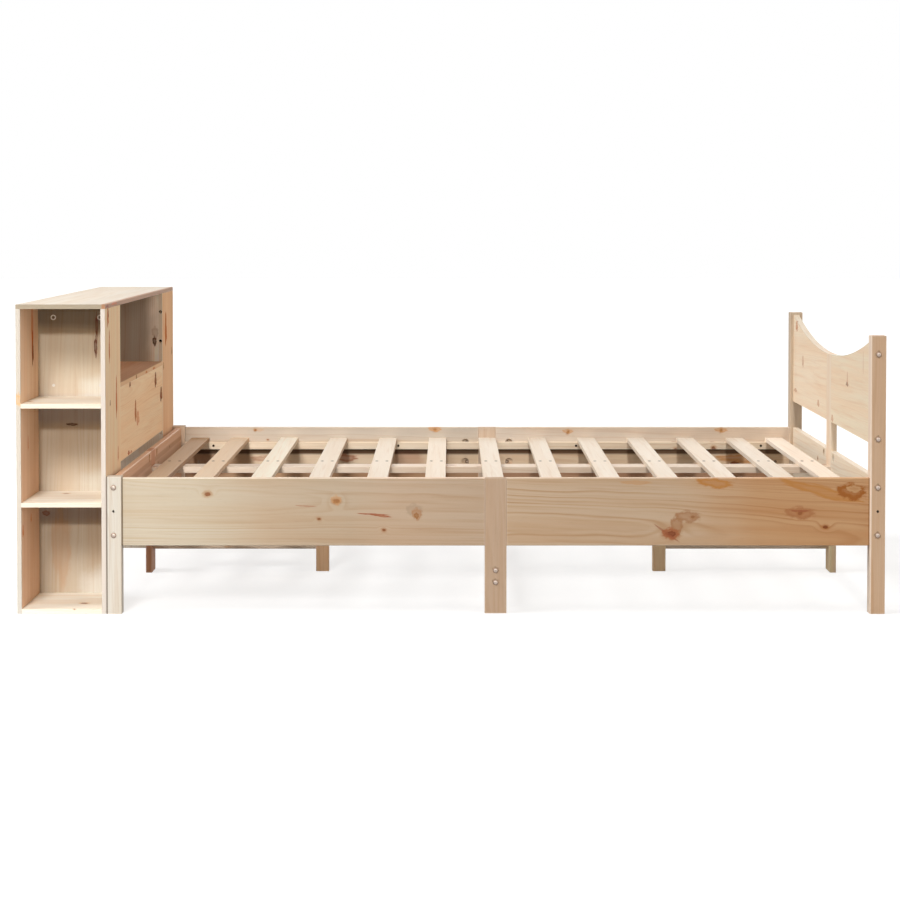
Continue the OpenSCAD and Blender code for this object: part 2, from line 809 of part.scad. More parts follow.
// Leg that stands on the floor under the beam
module support_leg() {
    color(warm_pine)
        difference() {
            board_z([leg_x - leg_length / 2, -leg_width / 2, 0],
                [leg_x + leg_length / 2, leg_width / 2, beam_bottom]);
            beam_screws(fit);
            stretcher_screws(fit);
        }
}

// Short prop that stands on the cross stretcher and carries the joint of the two beams
module centre_prop() {
    color(warm_pine)
        difference() {
            board_z([mid_x - leg_length / 2, -leg_width / 2, stretcher_top],
                [mid_x + leg_length / 2, leg_width / 2, beam_bottom]);
            beam_screws(fit);
            at_end(1) mirror([0, 1, 0]) beam_screws(fit);
            prop_screw(fit);
        }
}

// Screw up through the cross stretcher into the prop
module prop_screw(gap = 0) {
    translate([mid_x, 0, stretcher_clearance])
        rotate([180, 0, 0]) screw(stretcher_height + screw_grip, gap);
}

// Low board between a centre post and a support leg
module stretcher() {
    color(warm_pine)
        difference() {
            board_x([clear_x0, -board / 2, stretcher_clearance],
                [leg_x - leg_length / 2, board / 2, stretcher_top]);
            stretcher_screws(fit);
        }
}

// Screws that hold a low stretcher to its centre post and to its support leg
module stretcher_screws(gap = 0) {
    for (z = leg_bolt_zs) {
        translate([clear_x0 - board, 0, z])
            rotate([0, -90, 0]) screw(board + screw_grip, gap);
        translate([leg_x + leg_length / 2, 0, z])
            rotate([0, 90, 0]) screw(leg_length + screw_grip, gap);
    }
}

// Low board across the bed between the two middle legs
module cross_stretcher() {
    color(warm_pine)
        difference() {
            board_y([mid_x - board / 2, -clear_y, stretcher_clearance],
                [mid_x + board / 2, clear_y, stretcher_top]);
            for (side = [-1, 1], z = leg_bolt_zs)
                on_side(side) {
                    rod_y([mid_x, -clear_y - past, z],
                        past + stretcher_nut_inset + bolt_tip + hole_spare, bolt_r + fit);
                    rod_x([mid_x - board / 2 - past, -clear_y + stretcher_nut_inset, z],
                        past + (board + barrel_length) / 2 + hole_spare, barrel_r + fit);
                }
            prop_screw(fit);
        }
}

// Block under the end of a beam, screwed to the centre post
module beam_cleat() {
    color(pine)
        difference() {
            board_y([clear_x0, -beam_width / 2, beam_bottom - ledge_height],
                [clear_x0 + ledge_width, beam_width / 2, beam_bottom], ease / 2);
            cleat_screws(fit);
            beam_screws(fit);
        }
}

// Screws through a cleat into its centre post
module cleat_screws(gap = 0) {
    for (side = [-1, 1])
        translate([clear_x0 + ledge_width, side * beam_width * 0.3,
            beam_bottom - ledge_height / 2])
            rotate([0, 90, 0]) screw(ledge_width + board * 0.6, gap);
}

// Fasteners of the bed

// Bolts through the posts into the rails and panel, and through the legs into the stretcher
module post_bolts() {
    length = post + nut_inset + bolt_tip;
    color(steel)
        for (side = [-1, 1])
            on_side(side) {
                for (end = [-1, 1])
                    at_end(end) {
                        for (z = end < 0 ? post_bolt_zs : concat(post_bolt_zs, panel_bolt_zs))
                            translate([end_rail_x, -bed_y, z]) rotate([90, 0, 0]) bolt(length);
                        for (z = side_bolt_zs)
                            translate([bed_x0 + counterbore_depth, -side_rail_y, z])
                                rotate([0, -90, 0]) bolt(length - counterbore_depth);
                    }
                for (z = leg_bolt_zs)
                    translate([mid_x, -side_rail_y - board / 2, z])
                        rotate([90, 0, 0]) bolt(board + stretcher_nut_inset + bolt_tip);
            }
}

module barrel_nuts() {
    color(zinc)
        for (side = [-1, 1])
            on_side(side) {
                for (end = [-1, 1])
                    at_end(end) {
                        for (z = end < 0 ? post_bolt_zs : concat(post_bolt_zs, panel_bolt_zs))
                            translate([end_rail_x, -bed_y + post + nut_inset, z])
                                rotate([0, -90, 0]) barrel_nut();
                        for (z = side_bolt_zs)
                            translate([bed_x0 + post + nut_inset, -side_rail_y, z])
                                rotate([0, 0, 90]) rotate([0, 90, 0]) barrel_nut();
                    }
                for (z = leg_bolt_zs)
                    translate([mid_x, -clear_y + stretcher_nut_inset, z])
                        rotate([0, -90, 0]) barrel_nut();
            }
}

// Threaded rods through the middle legs and centre posts, from pocket to pocket
module joint_rods() {
    side_reach = middle_leg_width / 2 + pocket_inset + rod_tip - pocket_r / 2;
    end_reach = centre_post_width / 2 + pocket_inset + rod_tip - pocket_r / 2;
    color(steel) {
        for (side = [-1, 1], z = side_bolt_zs)
            rod_x([mid_x - side_reach, side * side_rail_y, z], 2 * side_reach, bolt_r);
        for (end = [-1, 1], z = end_rod_zs)
            at_end(end) rod_y([end_rail_x, -end_reach, z], 2 * end_reach, bolt_r);
    }
}

// Half-moon washers and hexagon nuts on the rods, in their pockets
module rod_nuts() {
    color(zinc)
        for (side = [-1, 1], end = [-1, 1])
            on_side(side)
                at_end(end) {
                    for (z = side_bolt_zs)
                        translate([mid_x - middle_leg_width / 2 - pocket_inset, -side_rail_y, z])
                            half_moon_and_nut();
                    for (z = end_rod_zs)
                        translate([end_rail_x, -centre_post_width / 2 - pocket_inset, z])
                            rotate([0, 0, 90]) half_moon_and_nut();
                }
}

module frame_screws() {
    color(zinc) {
        for (end = [-1, 1])
            at_end(end) {
                for (side = [-1, 1]) on_side(side) ledge_screws();
                if (end < 0) beam_screws();
                else mirror([0, 1, 0]) beam_screws();
                stretcher_screws();
                cleat_screws();
            }
        prop_screw();
    }
}

top_board();
case_rear_board();  // near_rear_board
case_stile();  // near_stile
case_divider();  // near_divider
end_shelf(case_board);  // near_floor_board
end_shelf(lower_shelf_top);  // near_lower_shelf
end_shelf(upper_shelf_top);  // near_upper_shelf
on_side(1) case_rear_board();  // far_rear_board
on_side(1) case_stile();  // far_stile
on_side(1) case_divider();  // far_divider
on_side(1) end_shelf(case_board);  // far_floor_board
on_side(1) end_shelf(lower_shelf_top);  // far_lower_shelf
on_side(1) end_shelf(upper_shelf_top);  // far_upper_shelf
centre_shelf();
front_panel();
back_panel();
cam_locks();
cam_pins();
shelf_screws();
dowels();
head_post();  // near_head_post
on_side(1) head_post();  // far_head_post
end_rail();  // near_head_rail
on_side(1) end_rail();  // far_head_rail
head_centre_post();
foot_post();  // near_foot_post
on_side(1) foot_post();  // far_foot_post
at_end(1) end_rail();  // near_foot_rail
on_side(1) at_end(1) end_rail();  // far_foot_rail
foot_centre_post();
foot_panel();  // near_foot_panel
on_side(1) foot_panel();  // far_foot_panel
side_rail();  // near_head_side_rail
at_end(1) side_rail();  // near_foot_side_rail
on_side(1) side_rail();  // far_head_side_rail
on_side(1) at_end(1) side_rail();  // far_foot_side_rail
middle_leg();  // near_middle_leg
on_side(1) middle_leg();  // far_middle_leg
ledge();  // near_head_ledge
at_end(1) ledge();  // near_foot_ledge
on_side(1) ledge();  // far_head_ledge
on_side(1) at_end(1) ledge();  // far_foot_ledge
slats();
beam();  // head_beam
at_end(1) mirror([0, 1, 0]) beam();  // foot_beam
support_leg();  // head_support_leg
at_end(1) mirror([0, 1, 0]) support_leg();  // foot_support_leg
centre_prop();
stretcher();  // head_stretcher
at_end(1) stretcher();  // foot_stretcher
cross_stretcher();
beam_cleat();  // head_beam_cleat
at_end(1) mirror([0, 1, 0]) beam_cleat();  // foot_beam_cleat
post_bolts();
barrel_nuts();
joint_rods();
rod_nuts();
slat_screws();
frame_screws();
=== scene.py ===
import random
from math import radians

import bpy
from mathutils import Euler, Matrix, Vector


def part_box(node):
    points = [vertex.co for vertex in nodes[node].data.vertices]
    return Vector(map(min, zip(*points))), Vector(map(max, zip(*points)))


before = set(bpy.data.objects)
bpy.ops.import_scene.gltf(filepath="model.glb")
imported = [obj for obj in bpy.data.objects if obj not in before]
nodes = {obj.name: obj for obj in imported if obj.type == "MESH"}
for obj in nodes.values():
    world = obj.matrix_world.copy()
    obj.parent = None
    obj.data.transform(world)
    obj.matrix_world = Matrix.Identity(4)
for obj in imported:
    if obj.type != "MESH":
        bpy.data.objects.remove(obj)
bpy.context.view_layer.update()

scene = bpy.context.scene

# The side rails are planed pine boards, in two halves on each side of the bed, held between
# the corner posts and the middle leg. Pine is drawn here as the log it was sawn from: rings
# round a pith, fibres along it, and knots that grow out from it and push the rings aside.


def add(tree, kind, *values, **settings):
    made = tree.nodes.new(kind)
    for name, value in settings.items():
        setattr(made, name, value)
    for index, value in enumerate(values):
        if isinstance(value, bpy.types.NodeSocket):
            tree.links.new(value, made.inputs[index])
        elif value is not None:
            made.inputs[index].default_value = value
    return made


def calc(tree, operation, *values):
    return add(tree, "ShaderNodeMath", *values, operation=operation).outputs[0]


def vector(tree, operation, *values):
    made = add(tree, "ShaderNodeVectorMath", *values, operation=operation)
    return made.outputs["Value" if operation in ("LENGTH", "DOT_PRODUCT") else "Vector"]


def scaled(tree, value, factors):
    return vector(tree, "MULTIPLY", value, factors)


def soft_step(tree, value, start, end, low=0.0, high=1.0):
    made = add(tree, "ShaderNodeMapRange", value, start, end, low, high)
    made.interpolation_type = "SMOOTHSTEP"
    return made.outputs[0]


def blend(tree, factor, one, two, kind="MIX"):
    made = tree.nodes.new("ShaderNodeMix")
    made.data_type = "RGBA"
    made.blend_type = kind
    for name, value in (("Factor_Float", factor), ("A_Color", one), ("B_Color", two)):
        socket = next(s for s in made.inputs if s.identifier == name)
        if isinstance(value, bpy.types.NodeSocket):
            tree.links.new(value, socket)
        else:
            socket.default_value = value
    return next(s for s in made.outputs if s.identifier == "Result_Color")


def noise(tree, where, scale, detail=2.0, roughness=0.5):
    made = add(tree, "ShaderNodeTexNoise")
    made.inputs["Scale"].default_value = scale
    made.inputs["Detail"].default_value = detail
    made.inputs["Roughness"].default_value = roughness
    tree.links.new(where, made.inputs["Vector"])
    return made.outputs


def new_group(name, inputs, outputs):
    group = bpy.data.node_groups.new(name, "ShaderNodeTree")
    for label, kind, value in inputs:
        socket = group.interface.new_socket(label, in_out="INPUT", socket_type="NodeSocket" + kind)
        if value is not None:
            socket.default_value = value
    for label, kind in outputs:
        group.interface.new_socket(label, in_out="OUTPUT", socket_type="NodeSocket" + kind)
    return group, group.nodes.new("NodeGroupInput").outputs, group.nodes.new("NodeGroupOutput").inputs


# Distance from a knot, in radii of the branch, which runs outwards from the pith
knot_group, k_in, k_out = new_group(
    "knot",
    [("Vector", "Vector", None), ("Centre", "Vector", (0, 0, 0)), ("Branch", "Vector", (0, 0, 1)),
     ("Radius", "Float", 0.008), ("Squash", "Vector", (1, 1, 1)), ("Nearest", "Float", 20.0)],
    [("Nearest", "Float")],
)
from_knot = vector(knot_group, "SUBTRACT", k_in["Vector"], k_in["Centre"])
along_branch = vector(knot_group, "DOT_PRODUCT", from_knot, k_in["Branch"])
branch_part = add(knot_group, "ShaderNodeVectorMath", k_in["Branch"], operation="SCALE")
knot_group.links.new(along_branch, branch_part.inputs["Scale"])
across_branch = vector(knot_group, "SUBTRACT", from_knot, branch_part.outputs["Vector"])
across_branch = vector(knot_group, "MULTIPLY", across_branch, k_in["Squash"])
knot_edge = calc(knot_group, "DIVIDE", vector(knot_group, "LENGTH", across_branch), k_in["Radius"])
nearest = add(
    knot_group, "ShaderNodeMath", k_in["Nearest"], knot_edge, 0.4, operation="SMOOTH_MIN"
)
knot_group.links.new(nearest.outputs[0], k_out["Nearest"])

# How near a point is to a long edge or to the sawn end of its board
wear_and_highlight_width = 0.0022
sawn_depth = 0.0008
edge_group, e_in, e_out = new_group(
    "board_edges",
    [("Vector", "Vector", None), ("Centre", "Vector", (0, 0, 0)), ("Half", "Vector", (1, 1, 1)),
     ("Grain", "Vector", (1, 0, 0))],
    [("Edge", "Float"), ("End", "Float")],
)
inset = vector(
    edge_group, "SUBTRACT", e_in["Half"],
    vector(edge_group, "ABSOLUTE", vector(edge_group, "SUBTRACT", e_in["Vector"], e_in["Centre"])),
)
inset_xyz = add(edge_group, "ShaderNodeSeparateXYZ", inset).outputs
least_xy = calc(edge_group, "MINIMUM", inset_xyz[0], inset_xyz[1])
most_xy = calc(edge_group, "MAXIMUM", inset_xyz[0], inset_xyz[1])
second = calc(edge_group, "MAXIMUM", least_xy, calc(edge_group, "MINIMUM", most_xy, inset_xyz[2]))
ragged = noise(edge_group, e_in["Vector"], 90.0)["Fac"]
second = calc(edge_group, "ADD", second, calc(edge_group, "MULTIPLY", ragged, -0.0016))
edge_group.links.new(soft_step(edge_group, second, wear_and_highlight_width, 0.0002), e_out["Edge"])
to_end = vector(edge_group, "DOT_PRODUCT", inset, e_in["Grain"])
edge_group.links.new(soft_step(edge_group, to_end, sawn_depth, 0.0003), e_out["End"])

# A patch of resin or darker heartwood, or painted light or shade: an uneven blot of a second
# colour on the wood, or a wide soft tint that keeps the grain under it. No wood gets paler than this:
palest = 0.95
stain_or_light_group, s_in, s_out = new_group(
    "stain",
    [("Color", "Color", (1, 1, 1, 1)), ("Vector", "Vector", None), ("Centre", "Vector", (0, 0, 0)),
     ("Size", "Vector", (1, 1, 1)), ("Grain", "Vector", (1, 0, 0)), ("Lean", "Vector", (0, 0, 0)),
     ("Blot", "Color", (0.5, 0.25, 0.1, 1)), ("Strength", "Float", 0.5), ("Tint", "Float", 0.0)],
    [("Color", "Color")],
)
g = stain_or_light_group
off_blot = vector(g, "SUBTRACT", s_in["Vector"], s_in["Centre"])
lean = add(g, "ShaderNodeVectorMath", s_in["Lean"], operation="SCALE")
g.links.new(vector(g, "DOT_PRODUCT", off_blot, s_in["Grain"]), lean.inputs["Scale"])
off_blot = vector(g, "SUBTRACT", off_blot, lean.outputs["Vector"])
off_blot = vector(g, "DIVIDE", off_blot, s_in["Size"])
blot_noise = noise(g, off_blot, 1.3, 3.0, 0.6)["Fac"]
blot_noise = calc(g, "MULTIPLY_ADD", blot_noise, 1.6, -0.8)
blot_reach = vector(g, "LENGTH", off_blot)
tint = soft_step(g, calc(g, "MULTIPLY_ADD", blot_noise, 0.4, blot_reach), 1.1, 0.5)
blot_reach = calc(g, "ADD", blot_reach, blot_noise)
blot = soft_step(g, blot_reach, 1.1, 0.65)
blot_rim = calc(g, "MULTIPLY", blot, soft_step(g, blot_reach, 0.3, 0.85))
blot = calc(g, "ADD", calc(g, "MULTIPLY", blot, 0.75), calc(g, "MULTIPLY", blot_rim, 0.5))
blot = blend(g, s_in["Tint"], blot, tint)
blot = calc(g, "MULTIPLY", blot, s_in["Strength"])
tinted = vector(g, "MULTIPLY", s_in["Color"], s_in["Blot"])
tinted = vector(g, "MINIMUM", tinted, (palest, palest, palest))
blot_colour = blend(g, s_in["Tint"], s_in["Blot"], tinted)
g.links.new(blend(g, blot, s_in["Color"], blot_colour), s_out["Color"])

# Pine in board space: x runs along the grain and the pith lies on the x axis
pine_group, p_in, p_out = new_group(
    "pine_wood",
    [("Vector", "Vector", None), ("Knot", "Float", 20.0), ("Edge", "Float", 0.0),
     ("End", "Float", 0.0), ("Early", "Color", (0.8, 0.7, 0.5, 1)),
     ("Late", "Color", (0.6, 0.4, 0.25, 1)), ("Warm", "Color", (0.7, 0.5, 0.35, 1)),
     ("Knot Colour", "Color", (0.25, 0.1, 0.05, 1)), ("Ring Width", "Float", 0.0042),
     ("Ring Contrast", "Float", 0.5), ("Wobble", "Float", 0.012), ("Warmth", "Float", 0.5),
     ("Heart", "Float", 0.3), ("Strip", "Float", 10.0), ("Seed", "Float", 0.0)],
    [("Color", "Color"), ("Roughness", "Float"), ("Height", "Float")],
)
g = pine_group
seed_shift = add(g, "ShaderNodeCombineXYZ", calc(g, "MULTIPLY", p_in["Seed"], 1.37),
                 calc(g, "MULTIPLY", p_in["Seed"], 0.71), p_in["Seed"]).outputs[0]
board_xyz = add(g, "ShaderNodeSeparateXYZ", p_in["Vector"]).outputs
strip_at = calc(g, "DIVIDE", board_xyz[1], p_in["Strip"])
strip_at = calc(g, "ADD", strip_at, 0.5)
strip_number = calc(g, "FLOOR", strip_at)
strip_random = add(g, "ShaderNodeTexWhiteNoise", None, calc(g, "ADD", strip_number, p_in["Seed"]),
                   noise_dimensions="1D").outputs
strip_on = soft_step(g, p_in["Strip"], 2.0, 1.0)
strip_shift = scaled(g, vector(g, "SUBTRACT", strip_random["Color"], (0.5, 0.5, 0.5)),
                     (3.0, 0.11, 0.05))
strip_shift = blend(g, strip_on, (0, 0, 0, 1), strip_shift)
log_at = vector(g, "ADD", p_in["Vector"], strip_shift)
noise_at = vector(g, "ADD", log_at, seed_shift)
bend = noise(g, scaled(g, noise_at, (1.6, 5.0, 5.0)), 1.0, 3.0, 0.5)["Color"]
bend = scaled(g, vector(g, "SUBTRACT", bend, (0.5, 0.5, 0.5)), (0.0, 2.0, 2.0))
bend = add(g, "ShaderNodeVectorMath", bend, operation="SCALE")
g.links.new(p_in["Wobble"], bend.inputs["Scale"])
bent = scaled(g, vector(g, "ADD", log_at, bend.outputs["Vector"]), (0.0, 1.0, 1.0))
knot_ragged = noise(g, scaled(g, noise_at, (90.0, 170.0, 170.0)), 1.0, 3.0, 0.6)["Fac"]
knot_at = calc(g, "ADD", p_in["Knot"], calc(g, "MULTIPLY", calc(g, "SUBTRACT", knot_ragged, 0.5),
                                            1.5))
push = soft_step(g, p_in["Knot"], 5.0, 0.5, 0.0, 0.005)
ring_radius = calc(g, "ADD", vector(g, "LENGTH", bent), push)
uneven = add(g, "ShaderNodeTexNoise", noise_dimensions="1D")
g.links.new(calc(g, "ADD", calc(g, "MULTIPLY", ring_radius, 60.0), p_in["Seed"]),
            uneven.inputs["W"])
uneven.inputs["Scale"].default_value = 1.0
ring_count = calc(g, "ADD", calc(g, "DIVIDE", ring_radius, p_in["Ring Width"]),
                  calc(g, "MULTIPLY", uneven.outputs["Fac"], 2.6))
ring_part = calc(g, "FRACT", ring_count)
ring_random = add(g, "ShaderNodeTexWhiteNoise", None, calc(g, "FLOOR", ring_count),
                  noise_dimensions="1D").outputs["Value"]
late = calc(g, "MULTIPLY", soft_step(g, ring_part, 0.2, 0.82),
            soft_step(g, ring_part, 1.0, 0.84))
fade = noise(g, scaled(g, noise_at, (2.2, 22.0, 22.0)), 1.0, 2.0, 0.5)["Fac"]
late = calc(g, "MULTIPLY", late, calc(g, "MULTIPLY_ADD", ring_random, 0.85, 0.15))
late = calc(g, "MULTIPLY", late, soft_step(g, fade, 0.3, 0.62, 0.25, 1.0))
fibre = noise(g, scaled(g, noise_at, (7.0, 420.0, 420.0)), 1.0, 3.0, 0.6)["Fac"]
duct = noise(g, scaled(g, noise_at, (38.0, 760.0, 760.0)), 1.0, 1.0)["Fac"]
duct = soft_step(g, duct, 0.66, 0.74)
band = soft_step(g, noise(g, scaled(g, noise_at, (1.2, 26.0, 26.0)), 1.0, 2.0, 0.5)["Fac"], 0.34, 0.68)
streak = soft_step(g, noise(g, scaled(g, noise_at, (3.0, 95.0, 95.0)), 1.0, 2.0, 0.5)["Fac"], 0.5, 0.8)
colour = blend(g, calc(g, "MULTIPLY", band, p_in["Warmth"]), p_in["Early"], p_in["Warm"])
heart_at = soft_step(g, ring_radius, 0.052, 0.03)
colour = blend(g, calc(g, "MULTIPLY", heart_at, p_in["Heart"]), colour, p_in["Late"])
colour = blend(g, calc(g, "MULTIPLY", late, p_in["Ring Contrast"]), colour, p_in["Late"])
colour = blend(g, calc(g, "MULTIPLY", streak, 0.4), colour, p_in["Late"])
strip_tone = calc(g, "MULTIPLY", calc(g, "SUBTRACT", strip_random["Value"], 0.5), strip_on)
shade = calc(g, "MULTIPLY_ADD", fibre, 0.12, 0.94)
shade = calc(g, "ADD", shade, calc(g, "MULTIPLY", strip_tone, 0.10))
shade = calc(g, "SUBTRACT", shade, calc(g, "MULTIPLY", duct, 0.08))
shade_rgb = add(g, "ShaderNodeCombineColor", shade, shade, shade).outputs[0]
colour = blend(g, 1.0, colour, shade_rgb, "MULTIPLY")
halo = soft_step(g, knot_at, 2.3, 1.0, 0.0, 0.6)
colour = blend(g, halo, colour, vector(g, "MULTIPLY", p_in["Late"], (0.92, 0.72, 0.5)))
core = soft_step(g, knot_at, 1.2, 0.7)
colour = blend(g, calc(g, "MULTIPLY", core, 0.9), colour, p_in["Knot Colour"])
glue_line = calc(g, "ABSOLUTE", calc(g, "SUBTRACT", calc(g, "FRACT", strip_at), 0.5))
glue_line = calc(g, "MULTIPLY", calc(g, "SUBTRACT", 0.5, glue_line), p_in["Strip"])
glue_line = calc(g, "MULTIPLY", soft_step(g, glue_line, 0.0005, 0.0001), strip_on)
colour = blend(g, calc(g, "MULTIPLY", glue_line, 0.35), colour, p_in["Late"])
colour = blend(g, calc(g, "MULTIPLY", p_in["End"], 0.38), colour, p_in["Late"])
# Long edges are paler: rubbed wear, and a painted highlight where the eased edges catch light
colour = blend(g, calc(g, "MULTIPLY", p_in["Edge"], 0.22), colour, (0.90, 0.80, 0.68, 1))
g.links.new(colour, p_out["Color"])
rough = calc(g, "MULTIPLY_ADD", fibre, 0.22, 0.45)
rough = calc(g, "SUBTRACT", rough, calc(g, "MULTIPLY", late, 0.08))
rough = calc(g, "SUBTRACT", rough, calc(g, "MULTIPLY", core, 0.12))
rough = calc(g, "ADD", rough, calc(g, "MULTIPLY", p_in["End"], 0.15))
g.links.new(calc(g, "SUBTRACT", rough, calc(g, "MULTIPLY", p_in["Edge"], 0.06)), p_out["Roughness"])
height = calc(g, "ADD", calc(g, "MULTIPLY", fibre, 0.45), calc(g, "MULTIPLY", late, 0.35))
height = calc(g, "SUBTRACT", height, calc(g, "MULTIPLY", duct, 0.4))
height = calc(g, "SUBTRACT", height, calc(g, "MULTIPLY", core, 0.5))
height = calc(g, "SUBTRACT", height, calc(g, "MULTIPLY", glue_line, 0.6))
g.links.new(height, p_out["Height"])

grain_turns = {"x": (0, 0, 0), "y": (0, 0, radians(90)), "z": (0, radians(-90), 0)}
grain_axes = {"x": (1, 0, 0), "y": (0, 1, 0), "z": (0, 0, 1)}
knot_brown = (0.22, 0.075, 0.03)
resin_brown = (0.60, 0.30, 0.11)
red_streak = (0.36, 0.11, 0.05)


# A board with a log of its own. A knot is (x, y, z, radius) and a tint (centre, reach, factor).
# A stain is (centre, reach, colour, strength), and may lean across the grain. Most tints and
# some stains paint light or shade rather than the wood's own colour.
def pine_board(name, grain, tone, pith=(0.0, 0.07), tilt=(0.6, 0.8), knots=(), stains=(),
               tints=(), seed=0.0, ring=0.0042, contrast=0.5, wobble=0.012, warmth=0.6, heart=0.2,
               strip=10.0, edges=True, loose_knots=0, sheen=0.1):
    low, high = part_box(name)
    centre = (low + high) / 2
    turn = Euler(grain_turns[grain]).to_matrix() @ Euler(
        (0, radians(tilt[0]), radians(tilt[1]))).to_matrix()
    pith_at = centre + Euler(grain_turns[grain]).to_matrix() @ Vector((0, *pith))
    grain_axis = Vector(grain_axes[grain])

    material = bpy.data.materials.new("pine_" + name)
    material.use_nodes = True
    tree = material.node_tree
    tree.nodes.clear()
    place = add(tree, "ShaderNodeTexCoord").outputs["Object"]
    mapping = add(tree, "ShaderNodeMapping", place, vector_type="TEXTURE")
    mapping.inputs["Location"].default_value = pith_at
    mapping.inputs["Rotation"].default_value = turn.to_euler()
    wood_node = add(tree, "ShaderNodeGroup", node_tree=pine_group)
    wood_in = wood_node.inputs
    tree.links.new(mapping.outputs[0], wood_in["Vector"])
    for label, factors in (("Early", (1.06, 1.09, 1.12)), ("Warm", (0.99, 0.92, 0.85)),
                           ("Late", (0.84, 0.68, 0.54))):
        wood_in[label].default_value = (*(min(t * f, palest) for t, f in zip(tone, factors)), 1)
    wood_in["Knot Colour"].default_value = (*knot_brown, 1)
    for label, value in (("Ring Width", ring), ("Ring Contrast", contrast), ("Wobble", wobble),
                         ("Warmth", warmth), ("Heart", heart), ("Strip", strip), ("Seed", seed)):
        wood_in[label].default_value = value

    pick = random.Random(int(seed * 100) + 7)
    knots = list(knots)
    for _ in range(loose_knots):
        knots.append((*(pick.uniform(low[i], high[i]) for i in range(3)), pick.uniform(0.002, 0.006)))
    nearest_knot = 20.0
    for x, y, z, radius in knots:
        at = Vector((x, y, z))
        branch = at - pith_at
        branch -= grain_axis * branch.dot(grain_axis)
        branch = (branch.normalized() + grain_axis * 0.18).normalized()
        squash = [1.0 - 0.35 * abs(a) for a in grain_axis]
        knot_node = add(tree, "ShaderNodeGroup", node_tree=knot_group)
        tree.links.new(place, knot_node.inputs["Vector"])
        knot_node.inputs["Centre"].default_value = at
        knot_node.inputs["Branch"].default_value = branch
        knot_node.inputs["Radius"].default_value = radius
        knot_node.inputs["Squash"].default_value = squash
        if isinstance(nearest_knot, bpy.types.NodeSocket):
            tree.links.new(nearest_knot, knot_node.inputs["Nearest"])
        nearest_knot = knot_node.outputs["Nearest"]
    if knots:
        tree.links.new(nearest_knot, wood_in["Knot"])
    if edges:
        edge_node = add(tree, "ShaderNodeGroup", node_tree=edge_group)
        tree.links.new(place, edge_node.inputs["Vector"])
        edge_node.inputs["Centre"].default_value = centre
        edge_node.inputs["Half"].default_value = (high - low) / 2
        edge_node.inputs["Grain"].default_value = grain_axis
        tree.links.new(edge_node.outputs["Edge"], wood_in["Edge"])
        tree.links.new(edge_node.outputs["End"], wood_in["End"])

    colour = wood_node.outputs["Color"]
    patches = [(at, size, factor, 1.0, (0, 0, 0), 1.0) for at, size, factor in tints]
    patches += [(*stain[:4], stain[4] if len(stain) > 4 else (0, 0, 0), 0.0) for stain in stains]
    for at, size, blot, strength, lean, tint in patches:
        stain_node = add(tree, "ShaderNodeGroup", node_tree=stain_or_light_group)
        tree.links.new(colour, stain_node.inputs["Color"])
        tree.links.new(place, stain_node.inputs["Vector"])
        stain_node.inputs["Centre"].default_value = at
        stain_node.inputs["Size"].default_value = size
        stain_node.inputs["Grain"].default_value = grain_axis
        stain_node.inputs["Lean"].default_value = lean
        stain_node.inputs["Blot"].default_value = (*blot, 1)
        stain_node.inputs["Strength"].default_value = strength
        stain_node.inputs["Tint"].default_value = tint
        colour = stain_node.outputs["Color"]

    bump = add(tree, "ShaderNodeBump")
    bump.inputs["Strength"].default_value = 0.3
    bump.inputs["Distance"].default_value = 0.0004
    tree.links.new(wood_node.outputs["Height"], bump.inputs["Height"])
    shader = add(tree, "ShaderNodeBsdfPrincipled")
    tree.links.new(colour, shader.inputs["Base Color"])
    tree.links.new(wood_node.outputs["Roughness"], shader.inputs["Roughness"])
    tree.links.new(bump.outputs[0], shader.inputs["Normal"])
    shader.inputs["Specular IOR Level"].default_value = sheen
    output = add(tree, "ShaderNodeOutputMaterial")
    tree.links.new(shader.outputs[0], output.inputs["Surface"])
    nodes[name].data.materials.clear()
    nodes[name].data.materials.append(material)
    return shader.inputs["Base Color"]


near_rail_face = -0.718
far_rail_face = 0.700


def on_near_rail(x, z, half_x, half_z, blot, strength, lean=0.0):
    return ((x, near_rail_face, z), (half_x, 0.02, half_z), blot, strength, (0, 0, lean))


# A wide tint through the rail's whole height: partly the board's own tone, partly painted light,
# lighter towards the head and darker towards the foot
def tone_and_light_through_near_rail(x, half_x, tone):
    return ((x, near_rail_face, 0.270), (half_x, 0.1, 0.5), tone)


# A thin dark line painted where the rail meets a post, as the shade in the gap between them
def joint_shadow_line(x, tone):
    return ((x, near_rail_face, 0.270), (0.004, 0.03, 2.0), tone)


# The rail's eased top edge is painted paler, as a highlight
def top_edge_highlight(x, tone):
    return ((x, -0.708, 0.3625), (3.0, 0.05, 0.005), tone)


